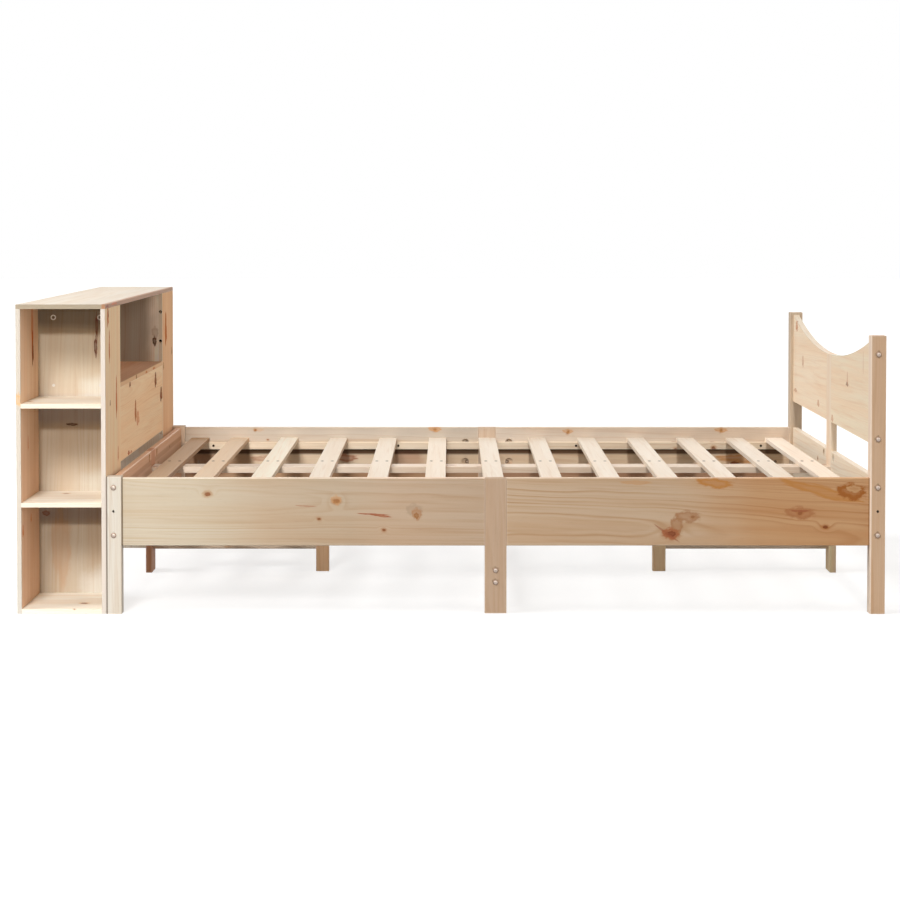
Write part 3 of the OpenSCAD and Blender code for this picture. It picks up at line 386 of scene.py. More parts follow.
pine_board(
    "near_head_side_rail", "x", (0.495, 0.385, 0.275), pith=(0.09, 0.03), tilt=(0.9, 0.5), seed=1.3,
    contrast=0.65, heart=0.1, warmth=0.7, ring=0.0050,
    knots=[(-0.644, near_rail_face, 0.317, 0.0055), (-0.303, near_rail_face, 0.298, 0.006),
           (-0.349, near_rail_face, 0.251, 0.003), (-0.177, near_rail_face, 0.2215, 0.003)],
    tints=[tone_and_light_through_near_rail(-0.900, 0.420, (1.06, 1.17, 1.25)),
           joint_shadow_line(-0.8707, (0.30, 0.26, 0.22)), top_edge_highlight(-0.40, (1.35, 1.36, 1.42)),
           tone_and_light_through_near_rail(0.05, 0.350, (1.10, 1.05, 1.04))],
    stains=[on_near_rail(-0.303, 0.300, 0.016, 0.014, resin_brown, 0.45),
            on_near_rail(-0.383, 0.285, 0.030, 0.002, red_streak, 0.5, -0.05),
            on_near_rail(-0.205, 0.263, 0.045, 0.0026, red_streak, 0.9, -0.05),
            on_near_rail(-0.185, 0.259, 0.030, 0.003, red_streak, 0.9, -0.12),
            on_near_rail(-0.096, 0.272, 0.024, 0.020, (0.40, 0.29, 0.20), 0.45),
            on_near_rail(-0.090, 0.263, 0.015, 0.017, (0.46, 0.25, 0.13), 0.8),
            on_near_rail(-0.091, 0.259, 0.007, 0.009, (0.36, 0.16, 0.06), 0.9)])
pine_board(
    "near_foot_side_rail", "x", (0.60, 0.44, 0.30), pith=(0.07, -0.05), tilt=(2.4, 0.6), seed=4.9,
    contrast=1.0, heart=0.3, wobble=0.02, warmth=0.9, ring=0.0065,
    knots=[(0.582, near_rail_face, 0.211, 0.010), (0.640, near_rail_face, 0.256, 0.0035),
           (0.990, near_rail_face, 0.2295, 0.005), (0.924, near_rail_face, 0.266, 0.004)],
    tints=[tone_and_light_through_near_rail(1.200, 0.620, (0.96, 0.76, 0.57)),
           joint_shadow_line(1.1073, (0.60, 0.56, 0.52)), top_edge_highlight(0.60, (1.16, 1.18, 1.22))],
    stains=[on_near_rail(0.490, 0.347, 0.045, 0.006, resin_brown, 0.45),
            on_near_rail(0.698, 0.345, 0.052, 0.014, (0.54, 0.24, 0.07), 0.9, -0.08),
            on_near_rail(0.985, 0.322, 0.120, 0.016, (0.54, 0.24, 0.07), 0.85, -0.24),
            on_near_rail(1.060, 0.322, 0.042, 0.024, (0.38, 0.13, 0.03), 1.0),
            on_near_rail(1.066, 0.330, 0.022, 0.010, (0.60, 0.36, 0.18), 0.8),
            on_near_rail(0.924, 0.266, 0.044, 0.018, (0.42, 0.17, 0.07), 0.7),
            on_near_rail(0.924, 0.272, 0.026, 0.003, red_streak, 0.9),
            on_near_rail(0.627, 0.256, 0.036, 0.017, (0.42, 0.21, 0.10), 0.75),
            on_near_rail(0.598, 0.232, 0.018, 0.028, (0.42, 0.21, 0.10), 0.8),
            on_near_rail(0.582, 0.211, 0.026, 0.017, (0.42, 0.14, 0.06), 0.8),
            on_near_rail(0.585, 0.211, 0.012, 0.008, (0.24, 0.07, 0.03), 0.9),
            on_near_rail(0.572, 0.212, 0.036, 0.004, red_streak, 0.6, -0.7)])


# On the far rails the marks are on the side towards the bed; the board behind stays plain
def on_far_rail(x, z, half_x, half_z, *colour):
    return ((x, far_rail_face - 0.001, z), (half_x, 0.013, half_z), *colour)


# The far rails are painted below the ledge: a dark shadow line just under it, painted shade low down
# and where the slats cast shadows, and painted light on the face between. Their outer face is painted
# lighter and warmer, as light on that side.
under_ledge_shadow = (0.21, 0.155, 0.12)
outer_side_light = ((0.0, 0.722, 0.27), (3.0, 0.016, 1.0), (1.24, 1.12, 0.96))
pine_board("far_head_side_rail", "x", (0.55, 0.475, 0.395), pith=(-0.08, 0.03), tilt=(1.2, 0.4),
           seed=8.2,
           knots=[(-0.640, far_rail_face, 0.3505, 0.0028), (-0.599, far_rail_face, 0.319, 0.0022),
                  (-0.052, far_rail_face, 0.352, 0.0040), (-0.270, far_rail_face, 0.225, 0.006)],
           tints=[outer_side_light, on_far_rail(-0.45, 0.225, 2.0, 0.075, (1.30, 1.18, 1.02)),
                  on_far_rail(-0.82, 0.240, 0.130, 0.060, (0.50, 0.42, 0.38)),
                  on_far_rail(-0.69, 0.250, 0.050, 0.050, (0.62, 0.54, 0.48)),
                  on_far_rail(-0.14, 0.250, 0.060, 0.050, (0.78, 0.67, 0.64)),
                  on_far_rail(-0.40, 0.180, 3.0, 0.052, (0.56, 0.44, 0.36)),
                  on_far_rail(-0.40, 0.2815, 3.0, 0.0125, under_ledge_shadow)],
           stains=[on_far_rail(-0.35, 0.258, 0.05, 0.014, red_streak, 0.7),
                   on_far_rail(-0.60, 0.255, 0.06, 0.012, red_streak, 0.5),
                   on_far_rail(-0.052, 0.353, 0.024, 0.010, resin_brown, 0.7),
                   on_far_rail(-0.630, 0.351, 0.020, 0.006, resin_brown, 0.3),
                   # a painted shade line where the rail meets the head post
                   on_far_rail(-0.8705, 0.33, 0.002, 2.0, (0.34, 0.25, 0.18), 0.8)])
pine_board("far_foot_side_rail", "x", (0.67, 0.57, 0.475), pith=(-0.07, -0.03), tilt=(1.8, 0.5),
           seed=2.6,
           knots=[(0.383, far_rail_face, 0.344, 0.0028), (0.884, far_rail_face, 0.349, 0.0028),
                  (0.930, far_rail_face, 0.240, 0.010)],
           tints=[outer_side_light, on_far_rail(0.65, 0.225, 2.0, 0.075, (1.20, 1.10, 0.95)),
                  on_far_rail(0.60, 0.180, 3.0, 0.052, (0.50, 0.37, 0.31)),
                  on_far_rail(0.60, 0.2815, 3.0, 0.0125, under_ledge_shadow)],
           stains=[on_far_rail(0.383, 0.346, 0.020, 0.008, resin_brown, 0.6),
                   on_far_rail(0.884, 0.350, 0.024, 0.008, resin_brown, 0.7),
                   on_far_rail(0.95, 0.256, 0.09, 0.016, (0.62, 0.30, 0.12), 0.8)])

# The middle legs close the joint between the two halves of each side rail. Their grain is
# upright, and a ring of painted shadow darkens the wood round each bolt head.
middle_leg_x = 0.11825


def shade_ring_round_bolt(x, *heights, strength=0.5):
    return [((x, -0.722, z), (0.0100, 0.03, 0.0100), (0.20, 0.12, 0.07), strength) for z in heights]


pine_board("near_middle_leg", "z", (0.56, 0.40, 0.28), pith=(0.08, 0.02), seed=6.1, contrast=0.4,
           stains=shade_ring_round_bolt(middle_leg_x, 0.082, 0.114))
pine_board("far_middle_leg", "z", (0.62, 0.49, 0.38), pith=(-0.08, 0.02), seed=7.7, contrast=0.4)

# The four corner posts are square stock with planed and eased corners, drilled for the bolts.
# The small pilot hole between two bolts is painted near black, as the shade inside it.
head_post_x = -0.8907
foot_post_x = 1.1273


def pilot_hole_shade(x):
    return ((x, -0.722, 0.272), (0.0035, 0.03, 0.0035), (0.03, 0.02, 0.015), 1.3)


# The head post's outer edge is painted darker, as shade on its side
outer_edge_shade = ((-0.9107, -0.73, 0.18), (0.0046, 0.02, 2.0), (0.32, 0.28, 0.25))
# The foot post's eased edge towards the bed is painted paler, as a highlight
eased_edge_highlight = ((1.106, -0.709, 0.4), (0.006, 0.05, 1.0), (0.95, 0.78, 0.63), 1.1)
pine_board("near_head_post", "z", (0.585, 0.545, 0.48), pith=(0.05, 0.03), seed=3.1, contrast=0.3,
           stains=[*shade_ring_round_bolt(head_post_x, 0.2085, 0.335, strength=0.15),
                   pilot_hole_shade(head_post_x)],
           tints=[outer_edge_shade])
pine_board("far_head_post", "z", (0.72, 0.60, 0.48), pith=(-0.05, 0.03), seed=5.3, contrast=0.35)
pine_board("near_foot_post", "z", (0.65, 0.45, 0.30), pith=(0.06, 0.04), seed=9.4, contrast=0.4,
           stains=[eased_edge_highlight, *shade_ring_round_bolt(foot_post_x, 0.2085, 0.335, 0.463, 0.687),
                   pilot_hole_shade(foot_post_x)])
pine_board("far_foot_post", "z", (0.57, 0.455, 0.34), pith=(-0.06, 0.04), seed=0.8, contrast=0.4)

# The head and foot rails are in two halves, bolted to the corner posts. They meet at a flat
# centre post, to which rods draw them.
for index, name in enumerate(("near_head_rail", "far_head_rail")):
    pine_board(name, "y", (0.68, 0.41, 0.255), pith=(0.07, 0.02), seed=11.7 + 1.9 * index,
               loose_knots=3,
               # the tint paints shade in a strip on the inner face, just above the slats' tops
               tints=[((-0.881, 0.0, 0.327), (0.012, 3.0, 0.010), (0.76, 0.68, 0.63))])
for index, name in enumerate(("near_foot_rail", "far_foot_rail")):
    pine_board(name, "y", (0.86, 0.75, 0.60), pith=(0.07, 0.02), seed=15.5 + 1.9 * index,
               loose_knots=2)
pine_board("head_centre_post", "z", (0.56, 0.28, 0.165), pith=(0.02, 0.07), seed=21.3, contrast=0.3)
pine_board("foot_centre_post", "z", (0.90, 0.74, 0.57), pith=(0.02, 0.07), seed=23.6, contrast=0.3,
           # its lower end is painted lighter and redder, as light on it
           tints=[((1.108, 0.0, 0.06), (0.03, 0.2, 0.16), (1.30, 1.01, 0.82))])

# The foot panel is in two halves, bolted to the foot posts and doweled to the centre post. One
# hollow is sawn into their top edge, which catches more light than the face and is painted a little
# darker and greyer, as shade.
faint_resin = (0.62, 0.32, 0.16)
panel_face = 1.118
hollow_radius = 2.901
hollow_lowest = 0.644


def on_panel(y, z, half_y, half_z, blot, strength):
    return ((panel_face, y, z), (0.02, half_y, half_z), blot, strength)


near_wood = pine_board(
    "near_foot_panel", "y", (0.95, 0.76, 0.565), pith=(0.09, 0.02), tilt=(1.5, 0.5), seed=26.1,
    contrast=0.35, strip=0.142, edges=False,
    stains=[on_panel(-0.307, 0.577, 0.020, 0.006, (0.30, 0.15, 0.08), 0.9),
            on_panel(-0.310, 0.590, 0.010, 0.020, faint_resin, 0.6),
            on_panel(-0.554, 0.651, 0.010, 0.030, faint_resin, 0.25),
            on_panel(-0.062, 0.458, 0.020, 0.010, faint_resin, 0.7)])
far_wood = pine_board(
    "far_foot_panel", "y", (0.92, 0.73, 0.54), pith=(0.09, -0.03), tilt=(1.2, 0.6), seed=28.7,
    contrast=0.35, strip=0.142, edges=False,
    stains=[on_panel(0.622, 0.694, 0.020, 0.016, (0.60, 0.24, 0.10), 0.9),
            on_panel(0.492, 0.588, 0.014, 0.018, faint_resin, 0.8),
            on_panel(0.643, 0.486, 0.030, 0.006, faint_resin, 0.8),
            on_panel(0.190, 0.481, 0.020, 0.010, faint_resin, 0.8)])
for wood in (near_wood, far_wood):
    tree = wood.id_data
    from_axis = add(tree, "ShaderNodeGroup", node_tree=knot_group)
    tree.links.new(add(tree, "ShaderNodeTexCoord").outputs["Object"], from_axis.inputs["Vector"])
    from_axis.inputs["Centre"].default_value = (panel_face, 0, hollow_lowest + hollow_radius)
    from_axis.inputs["Branch"].default_value = (1, 0, 0)
    from_axis.inputs["Radius"].default_value = hollow_radius
    hollow_edge_shade = soft_step(tree, from_axis.outputs["Nearest"], 1.0 + 0.002 / hollow_radius,
                     1.0 + 0.0005 / hollow_radius)
    shaded_edge_wood = blend(tree, 1.0, wood.links[0].from_socket, (0.78, 0.82, 0.87, 1), "MULTIPLY")
    tree.links.new(blend(tree, hollow_edge_shade, wood.links[0].from_socket, shaded_edge_wood), wood)

# The ledges are narrow battens screwed along the inside of the side rails. The ends of the
# slats lie on them.
for index, name in enumerate(("near_head_ledge", "near_foot_ledge", "far_head_ledge",
                              "far_foot_ledge")):
    pine_board(name, "x", (0.80, 0.66, 0.50), pith=(0.03, 0.05), seed=31.1 + 1.7 * index,
               loose_knots=2)

# The slats are thin planed boards across the bed, each held by two countersunk screws. They are
# one node, so each finds its own stretch of the log by its place along the bed. Their sides
# towards the foot are painted darker, as shade, and each countersink is painted dark, as its shade.
slat_pitch = 0.1615
slat_half_width = 0.0285
outer_slats_beyond = (-0.76, 0.99)
outer_slat_shift = 0.032
screw_from_middle = 0.015
countersink_half_x = 0.0050
countersink_half_y = 0.0090


# Tints across single slats: the first is painted darker, as the bookcase's shadow, and the next two
# and the last are painted lighter, as light on them
def one_slat_light_and_shade(x, half_x, tone):
    return ((x, 0.0, 0.32), (half_x, 4.0, 0.4), tone)


wood = pine_board("slats", "y", (0.76, 0.645, 0.52), pith=(0.0, 0.06), seed=41.2, contrast=0.2,
                  strip=slat_pitch, edges=False, warmth=0.4,
                  tints=[one_slat_light_and_shade(-0.830, 0.10, (0.66, 0.52, 0.39)),
                         one_slat_light_and_shade(-0.689, 0.08, (1.12, 1.02, 0.90)),
                         one_slat_light_and_shade(-0.528, 0.08, (1.22, 1.26, 1.26)),
                         one_slat_light_and_shade(1.055, 0.08, (1.22, 1.22, 1.24))])
tree = wood.id_data
slat_xyz = add(tree, "ShaderNodeSeparateXYZ",
               add(tree, "ShaderNodeTexCoord").outputs["Object"]).outputs
outer_slat = calc(tree, "SUBTRACT",
                  calc(tree, "GREATER_THAN", slat_xyz[0], outer_slats_beyond[1]),
                  calc(tree, "LESS_THAN", slat_xyz[0], outer_slats_beyond[0]))
along = calc(tree, "MULTIPLY_ADD", outer_slat, outer_slat_shift, slat_xyz[0])
along = calc(tree, "WRAP", calc(tree, "SUBTRACT", along, middle_leg_x), slat_pitch / 2,
             -slat_pitch / 2)
foot_side_shade = soft_step(tree, along, slat_half_width - 0.0007, slat_half_width - 0.0002)
shaded_side_wood = blend(tree, 1.0, wood.links[0].from_socket, (0.76, 0.66, 0.60, 1), "MULTIPLY")
tree.links.new(blend(tree, foot_side_shade, wood.links[0].from_socket, shaded_side_wood), wood)
along = calc(tree, "SUBTRACT", calc(tree, "ABSOLUTE", along), screw_from_middle)
from_screw = add(tree, "ShaderNodeCombineXYZ", calc(tree, "DIVIDE", along, countersink_half_x),
                 calc(tree, "DIVIDE", slat_xyz[1], countersink_half_y), 0.0).outputs[0]
countersink_shade = soft_step(tree, vector(tree, "LENGTH", from_screw), 1.2, 0.7)
tree.links.new(blend(tree, countersink_shade, wood.links[0].from_socket, (0.12, 0.08, 0.055, 1)), wood)

# The flat centre beam runs under the slats on cleats, legs and a short prop, and low
# stretchers tie the legs together.
for index, name in enumerate(("head_beam", "foot_beam", "head_stretcher", "foot_stretcher")):
    pine_board(name, "x", (0.72, 0.59, 0.47), pith=(0.02, -0.06), seed=51.9 + 1.3 * index,
               loose_knots=3)
for index, name in enumerate(("cross_stretcher", "head_beam_cleat", "foot_beam_cleat")):
    pine_board(name, "y", (0.70, 0.52, 0.38), pith=(0.06, 0.02), seed=58.3 + 1.3 * index,
               loose_knots=2)
pine_board("head_support_leg", "z", (0.68, 0.45, 0.275), pith=(0.05, 0.04), seed=63.5)
pine_board("foot_support_leg", "z", (0.95, 0.685, 0.435), pith=(0.05, 0.04), seed=64.8)
pine_board("centre_prop", "z", (0.80, 0.56, 0.37), pith=(0.05, 0.04), seed=66.1)

# The bookcase is made of thin boards, doweled together: uprights, short shelves between them
# and one long top board. Marks are placed on the side that shows: towards the bed, inside the
# rear board, or on the near side of the dividers.
case_near_edge = -0.7265
dark_knot = (0.26, 0.07, 0.03)
rust = (0.60, 0.17, 0.06)
dark_red = (0.50, 0.12, 0.06)
far_stile_edge = (-0.917, 0.452)


def sawn_edge(*colour):
    return ((0.0, case_near_edge, 0.4), (5.0, 0.006, 2.0), colour, 1.2)


def on_bed_side(y, z, half_y, half_z, blot, strength):
    return ((-0.911, y, z), (0.02, half_y, half_z), blot, strength)


# Each dowel hole in the far stile's edge is painted near black, as the shade inside it
def dowel_hole_shade(z):
    return ((*far_stile_edge, z), (0.005, 0.006, 0.005), (0.02, 0.015, 0.01), 1.3)


def in_rear_board(y, z, half_y, half_z, blot, strength):
    return ((-1.135, y, z), (0.02, half_y, half_z), blot, strength)


def on_near_divider(x, z, half_x, half_z, blot, strength):
    return ((x, -0.465, z), (half_x, 0.02, half_z), blot, strength)


# Wide tints that paint light and shade on the near divider: shadow bands under the top and the
# shelves, darker and lighter bands, and pools of light low at the stile end of each compartment
def near_divider_light_and_shade(x, z, half_x, half_z, tone):
    return ((x, -0.465, z), (half_x, 0.1, half_z), tone)


def on_far_divider(x, z, half_x, half_z, blot, strength):
    return ((x, 0.453, z), (half_x, 0.02, half_z), blot, strength)


# Tints that paint shade high up on the far divider and light lower down and beside the stile
def far_divider_light_and_shade(x, z, half_x, half_z, tone):
    return ((x, 0.453, z), (half_x, 0.1, half_z), tone)


pine_board(
    "near_rear_board", "z", (0.84, 0.62, 0.46), pith=(0.02, 0.07), tilt=(0.5, 1.4), seed=71.3,
    # the tint paints the inside of the board darker low down, as shade
    strip=0.136, sheen=0.0, tints=[((-1.135, -0.60, 0.150), (0.1, 1.0, 0.40), (0.89, 0.83, 0.81))],
    stains=[sawn_edge(0.56, 0.52, 0.455),
            ((-1.141, case_near_edge, 0.565), (0.01, 0.006, 0.02), (0.66, 0.42, 0.22), 0.9),
            in_rear_board(-0.546, 0.690, 0.012, 0.045, dark_knot, 1.1),
            in_rear_board(-0.550, 0.760, 0.014, 0.080, rust, 0.8),
            in_rear_board(-0.620, 0.440, 0.008, 0.020, rust, 0.5),
            in_rear_board(-0.700, 0.215, 0.008, 0.016, rust, 0.9),
            in_rear_board(-0.585, 0.235, 0.007, 0.012, rust, 0.7)])
pine_board(
    "near_stile", "z", (0.95, 0.715, 0.50), pith=(0.02, 0.07), tilt=(0.5, 1.4), seed=73.0,
    strip=0.136, sheen=0.0,
    stains=[sawn_edge(0.615, 0.56, 0.51),
            on_bed_side(-0.650, 0.700, 0.010, 0.042, rust, 0.9),
            on_bed_side(-0.674, 0.785, 0.014, 0.030, rust, 0.9),
            on_bed_side(-0.665, 0.790, 0.006, 0.010, dark_knot, 0.9),
            on_bed_side(-0.528, 0.555, 0.012, 0.055, rust, 1.0),
            on_bed_side(-0.640, 0.551, 0.008, 0.008, dark_knot, 0.7),
            on_bed_side(-0.500, 0.400, 0.010, 0.020, rust, 0.6)])
pine_board("far_rear_board", "z", (0.84, 0.60, 0.42), pith=(0.02, 0.07), tilt=(0.5, 1.4),
           seed=74.7, strip=0.136, loose_knots=3)
pine_board(
    "far_stile", "z", (0.87, 0.57, 0.36), pith=(0.02, 0.07), tilt=(0.5, 1.4), seed=76.4,
    strip=0.136, sheen=0.0,
    stains=[((*far_stile_edge, 0.5), (0.02, 0.006, 2.0), (0.84, 0.76, 0.64), 1.2),
            dowel_hole_shade(0.748), dowel_hole_shade(0.656),
            on_bed_side(0.540, 0.687, 0.024, 0.050, rust, 1.0),
            on_bed_side(0.480, 0.575, 0.010, 0.012, dark_knot, 0.5),
            on_bed_side(0.690, 0.610, 0.010, 0.012, dark_knot, 0.6)])
pine_board(
    "near_divider", "z", (0.53, 0.44, 0.34), pith=(0.07, 0.02), tilt=(1.4, 0.5), seed=79.1,
    contrast=0.35, ring=0.006,
    tints=[near_divider_light_and_shade(-1.04, 0.700, 1.0, 0.140, (1.10, 1.14, 1.14)),
           near_divider_light_and_shade(-1.04, 0.120, 1.0, 0.200, (0.84, 0.84, 0.83)),
           near_divider_light_and_shade(-1.04, 0.790, 1.0, 0.060, (0.52, 0.52, 0.54)),
           near_divider_light_and_shade(-1.04, 0.808, 1.0, 0.020, (0.75, 0.70, 0.62)),
           near_divider_light_and_shade(-1.04, 0.515, 1.0, 0.045, (0.76, 0.80, 0.96)),
           near_divider_light_and_shade(-1.04, 0.245, 1.0, 0.045, (0.76, 0.78, 0.92)),
           near_divider_light_and_shade(-0.915, 0.572, 0.120, 0.055, (1.12, 1.26, 1.42)),
           near_divider_light_and_shade(-0.915, 0.312, 0.120, 0.055, (1.10, 1.24, 1.38)),
           near_divider_light_and_shade(-1.04, 0.410, 1.0, 0.090, (0.91, 0.90, 0.88)),
           near_divider_light_and_shade(-0.915, 0.015, 0.120, 0.090, (1.28, 1.48, 1.75))],
    stains=[on_near_divider(-0.977, 0.690, 0.005, 0.030, (0.15, 0.05, 0.03), 0.9),
            on_near_divider(-0.974, 0.745, 0.004, 0.040, (0.20, 0.08, 0.05), 0.9),
            on_near_divider(-1.043, 0.478, 0.018, 0.004, (0.10, 0.05, 0.03), 0.9),
            on_near_divider(-1.116, 0.232, 0.012, 0.008, (0.20, 0.07, 0.04), 0.7),
            on_near_divider(-1.075, 0.130, 0.030, 0.110, (0.44, 0.28, 0.17), 0.5)])
pine_board(
    "far_divider", "z", (0.80, 0.70, 0.57), pith=(0.07, 0.02), tilt=(1.4, 0.5), seed=80.8,
    contrast=0.6,
    tints=[far_divider_light_and_shade(-1.08, 0.72, 0.22, 0.30, (0.50, 0.51, 0.54)),
           far_divider_light_and_shade(-1.06, 0.42, 0.12, 0.10, (1.18, 1.15, 1.12)),
           far_divider_light_and_shade(-0.905, 0.72, 0.065, 0.30, (1.70, 1.80, 1.95))],
    stains=[on_far_divider(-0.936, 0.655, 0.007, 0.016, (0.12, 0.06, 0.03), 1.0),
            on_far_divider(-0.934, 0.682, 0.012, 0.020, (0.36, 0.22, 0.13), 0.35)])
for index, name in enumerate(("near_floor_board", "near_lower_shelf", "near_upper_shelf",
                              "far_floor_board", "far_lower_shelf", "far_upper_shelf")):
    pine_board(name, "x", (0.88, 0.82, 0.71), pith=(0.03, -0.07), seed=83.7 + 1.7 * index,
               knots=[(-0.985, -0.633, 0.012, 0.006)] if index == 0 else (), loose_knots=1,
               tints=[((-1.03, case_near_edge, 0.30), (1.0, 0.004, 2.0), (0.88, 0.86, 0.83))])

# The long boards across the bed: the top, the shelf between the dividers, and the panels
# doweled in below and behind it. The first two have marks on their front edge.
long_board_edge = -0.910


def on_long_edge(y, z, half_y, half_z, blot, strength):
    return ((long_board_edge, y, z), (0.006, half_y, half_z), blot, strength)


pine_board(
    "top_board", "y", (0.61, 0.54, 0.455), pith=(0.03, -0.08), tilt=(0.4, 1.1), seed=95.1,
    strip=0.118,
    stains=[((-1.0, case_near_edge, 0.813), (1.0, 0.006, 0.05), (0.345, 0.285, 0.205), 1.2),
            ((long_board_edge, 0.0, 0.813), (0.010, 3.0, 0.09), (0.38, 0.20, 0.11), 1.2),
            on_long_edge(-0.68, 0.813, 0.02, 0.004, dark_knot, 0.9),
            on_long_edge(-0.56, 0.815, 0.05, 0.003, rust, 0.9)])
pine_board(
    "centre_shelf", "y", (0.80, 0.50, 0.34), pith=(0.03, -0.07), seed=97.3, sheen=0.0,
    stains=[on_long_edge(0.0, 0.586, 3.0, 0.05, (0.82, 0.56, 0.36), 1.2),
            on_long_edge(-0.136, 0.584, 0.010, 0.008, dark_knot, 0.8),
            on_long_edge(0.08, 0.584, 0.020, 0.004, rust, 0.8),
            on_long_edge(0.25, 0.584, 0.030, 0.004, rust, 0.7)])
pine_board(
    "front_panel", "y", (0.93, 0.69, 0.48), pith=(0.03, 0.07), seed=98.9, strip=0.2, contrast=0.5,
    sheen=0.0,
    stains=[on_bed_side(-0.267, 0.573, 0.016, 0.008, dark_knot, 0.9),
            on_bed_side(-0.157, 0.487, 0.018, 0.030, (0.50, 0.17, 0.07), 1.0),
            on_bed_side(-0.110, 0.462, 0.030, 0.020, rust, 0.6),
            on_bed_side(0.285, 0.545, 0.022, 0.022, dark_knot, 1.0),
            on_bed_side(0.417, 0.490, 0.026, 0.022, dark_knot, 1.0),
            on_bed_side(-0.299, 0.382, 0.020, 0.006, dark_red, 0.9),
            on_bed_side(-0.250, 0.380, 0.016, 0.004, dark_red, 0.7)])
pine_board("back_panel", "y", (0.78, 0.56, 0.39), pith=(0.03, 0.07), seed=99.7, strip=0.11,
           loose_knots=5)
pine_board("dowels", "x", (0.76, 0.62, 0.44), seed=12.9, edges=False)

# Bolts, nuts, rods and cams are zinc plated steel, with a brown reflection of the wood painted round
# the rim of each head.
# The screws of the ledges and slats are dark, dull steel, painted near black as the shade in their
# holes.
metal_group, m_in, m_out = new_group(
    "zinc_plate",
    [("Vector", "Vector", None), ("Colour", "Color", (0.7, 0.7, 0.7, 1)), ("Dull", "Float", 0.3)],
    [("Color", "Color"), ("Roughness", "Float"), ("Height", "Float")],
)
cloud = noise(metal_group, m_in["Vector"], 260.0, 3.0)["Fac"]
scratch = noise(metal_group, scaled(metal_group, m_in["Vector"], (900.0, 900.0, 3200.0)), 1.0)["Fac"]
plate_shade = calc(metal_group, "MULTIPLY_ADD", cloud, 0.3, 0.85)
plate_rgb = add(metal_group, "ShaderNodeCombineColor", plate_shade, plate_shade, plate_shade)
metal_group.links.new(
    blend(metal_group, 1.0, m_in["Colour"], plate_rgb.outputs[0], "MULTIPLY"), m_out["Color"]
)
metal_group.links.new(
    calc(metal_group, "ADD", m_in["Dull"], calc(metal_group, "MULTIPLY", cloud, 0.18)),
    m_out["Roughness"],
)
metal_group.links.new(scratch, m_out["Height"])


# Each head is round about the way it faces, and its rim is painted brown, as a reflection of the
# wood. The bolts face sideways where they stand out of the side of a post, and else along the bed.
inside_of_heads = 0.714


def zinc(names, label, colour, dull, metallic=1.0, sheen=0.5, faces=(0, 1, 0)):
    material = bpy.data.materials.new(label)
    material.use_nodes = True
    tree = material.node_tree
    tree.nodes.clear()
    place = add(tree, "ShaderNodeTexCoord").outputs["Object"]
    plate = add(tree, "ShaderNodeGroup", node_tree=metal_group)
    tree.links.new(place, plate.inputs["Vector"])
    plate.inputs["Colour"].default_value = (*colour, 1)
    plate.inputs["Dull"].default_value = dull
    bump = add(tree, "ShaderNodeBump")
    bump.inputs["Strength"].default_value = 0.1
    bump.inputs["Distance"].default_value = 0.0001
    tree.links.new(plate.outputs["Height"], bump.inputs["Height"])
    shader = add(tree, "ShaderNodeBsdfPrincipled")
    shader.inputs["Metallic"].default_value = metallic
    shader.inputs["Specular IOR Level"].default_value = sheen
    if faces is None:
        bolt_xyz = add(tree, "ShaderNodeSeparateXYZ", vector(tree, "ABSOLUTE", place)).outputs
        sideways = calc(tree, "GREATER_THAN", bolt_xyz[1], inside_of_heads)
        faces = add(tree, "ShaderNodeCombineXYZ", calc(tree, "SUBTRACT", 1.0, sideways), sideways,
                    0.0).outputs[0]
    normal = vector(tree, "ABSOLUTE", add(tree, "ShaderNodeTexCoord").outputs["Normal"])
    square_on = vector(tree, "DOT_PRODUCT", normal, faces)
    rim_reflection = soft_step(tree, square_on, 0.93, 0.70)
    rim_reflection_rgb = blend(tree, rim_reflection, (1, 1, 1, 1), (0.50, 0.38, 0.29, 1))
    tree.links.new(blend(tree, 1.0, plate.outputs["Color"], rim_reflection_rgb, "MULTIPLY"),
                   shader.inputs["Base Color"])
    tree.links.new(plate.outputs["Roughness"], shader.inputs["Roughness"])
    tree.links.new(bump.outputs[0], shader.inputs["Normal"])
    output = add(tree, "ShaderNodeOutputMaterial")
    tree.links.new(shader.outputs[0], output.inputs["Surface"])
    for name in names:
        nodes[name].data.materials.clear()
        nodes[name].data.materials.append(material)
    return shader.inputs["Base Color"]


zinc(("post_bolts", "joint_rods"), "bolt_zinc", (0.45, 0.38, 0.33), 0.46, faces=None)
zinc(("barrel_nuts", "rod_nuts"), "nut_zinc", (0.55, 0.54, 0.52), 0.38, faces=(1, 0, 0))
zinc(("shelf_screws", "cam_pins"), "screw_zinc", (0.66, 0.64, 0.60), 0.45)
zinc(("slat_screws", "frame_screws"), "screw_dark", (0.05, 0.035, 0.025), 0.5, 0.0, 0.0)

# The cam locks are pale rings round a socket painted dark, as the shade in it. The two on each
# divider lie on either side of its middle, at one height.
divider_middle = -1.02925
cam_from_middle = 0.06395
cam_height = 0.773
metal = zinc(("cam_locks",), "cam_zinc", (0.94, 0.91, 0.87), 0.45, 0.1)
tree = metal.id_data
cam_xyz = add(tree, "ShaderNodeSeparateXYZ",
              add(tree, "ShaderNodeTexCoord").outputs["Object"]).outputs
from_middle = calc(tree, "ABSOLUTE", calc(tree, "SUBTRACT", cam_xyz[0], divider_middle))
from_cam = add(tree, "ShaderNodeCombineXYZ", calc(tree, "SUBTRACT", from_middle, cam_from_middle),
               calc(tree, "SUBTRACT", cam_xyz[2], cam_height), 0.0).outputs[0]
from_cam = vector(tree, "LENGTH", from_cam)
cam_socket_shade = soft_step(tree, from_cam, 0.0048, 0.0038)
tree.links.new(blend(tree, cam_socket_shade, metal.links[0].from_socket, (0.22, 0.17, 0.13, 1)), metal)

# The bed stands on a plain white floor, which is also white where it is only seen in metal,
# and keeps the shadows.
floor_glow = 0.73


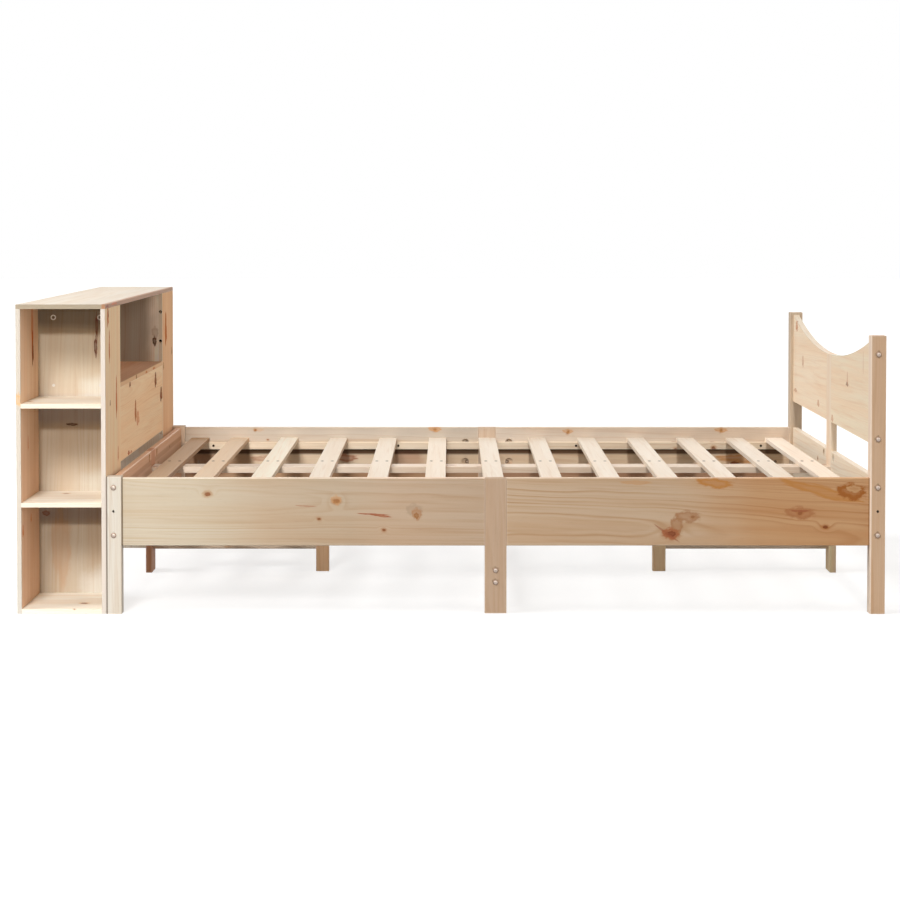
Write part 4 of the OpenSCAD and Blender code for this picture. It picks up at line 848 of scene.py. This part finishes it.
def seen_directly(tree):
    rays = add(tree, "ShaderNodeLightPath").outputs
    return calc(tree, "MAXIMUM", rays["Is Camera Ray"],
                calc(tree, "MAXIMUM", rays["Is Glossy Ray"], rays["Is Transmission Ray"]))


bpy.ops.object.select_all(action="DESELECT")
bpy.ops.mesh.primitive_plane_add(size=60, location=(0, 0, -0.0005))
floor = bpy.context.active_object
floor.name = "studio_floor"
floor_paint = bpy.data.materials.new("floor_white")
floor_paint.use_nodes = True
tree = floor_paint.node_tree
tree.nodes.clear()
seen = seen_directly(tree)
paint = add(tree, "ShaderNodeBsdfDiffuse", (0.4, 0.4, 0.4, 1))
glow = add(tree, "ShaderNodeEmission", (1, 1, 1, 1), calc(tree, "MULTIPLY", seen, floor_glow))
both = add(tree, "ShaderNodeAddShader", paint.outputs[0], glow.outputs[0])
output = add(tree, "ShaderNodeOutputMaterial")
tree.links.new(both.outputs[0], output.inputs["Surface"])
floor.data.materials.append(floor_paint)

# The sky is white where it is seen and dim as a light.
sky_light = 0.08
world = bpy.data.worlds.new("studio")
scene.world = world
world.use_nodes = True
tree = world.node_tree
tree.nodes.clear()
seen = seen_directly(tree)
strength = calc(tree, "MULTIPLY_ADD", seen, 1.0 - sky_light, sky_light)
sky = add(tree, "ShaderNodeBackground", (1, 1, 1, 1), strength)
output = add(tree, "ShaderNodeOutputWorld")
tree.links.new(sky.outputs[0], output.inputs["Surface"])


# Soft light comes from the upper left, low light from the near side and a little from the
# right and from behind; one lamp reaches into the bookcase.
def lamp(name, kind, place, aim, energy, size, colour=(1, 1, 1)):
    data = bpy.data.lights.new(name, kind)
    data.energy = energy
    data.color = colour
    if kind == "AREA":
        data.shape = "SQUARE"
        data.size = size
        data.spread = radians(22)
    else:
        data.angle = radians(size)
    made = bpy.data.objects.new(name, data)
    scene.collection.objects.link(made)
    made.location = place
    made.rotation_euler = (Vector(aim) - Vector(place)).to_track_quat("-Z", "Y").to_euler()


lamp("left_sky", "SUN", (-5.4, -0.8, 5.6), (0, 0, 0), 2.4, 34)
lamp("low_light", "SUN", (-0.1, -5.0, 1.55), (0, 0, 0), 1.1, 2.5, (1.0, 0.98, 0.95))
lamp("corner_key", "AREA", (-2.4, -6.2, 4.2), (-1.85, -0.7, 0.5), 19, 2.4)
lamp("right_fill", "SUN", (5.0, -2.5, 2.3), (0, 0, 0), 1.12, 60, (1.0, 0.90, 0.78))
lamp("back_fill", "SUN", (1.5, 5.0, 1.8), (0, 0, 0), 0.7, 40)

# The camera stands off the near side, a little higher than the bookcase, and looks almost level
# across the bed. Its shift gives the photograph's framing.
camera_data = bpy.data.cameras.new("side_camera")
camera = bpy.data.objects.new("side_camera", camera_data)
scene.collection.objects.link(camera)
camera.location = (0, -6.6525, 1.0561)
camera.rotation_euler = (radians(88), 0, 0)
camera_data.lens = 90.109
camera_data.sensor_width = 36
camera_data.shift_x = -0.001
camera_data.shift_y = -0.1744
camera_data.clip_end = 100
scene.camera = camera
scene.view_settings.view_transform = "Standard"
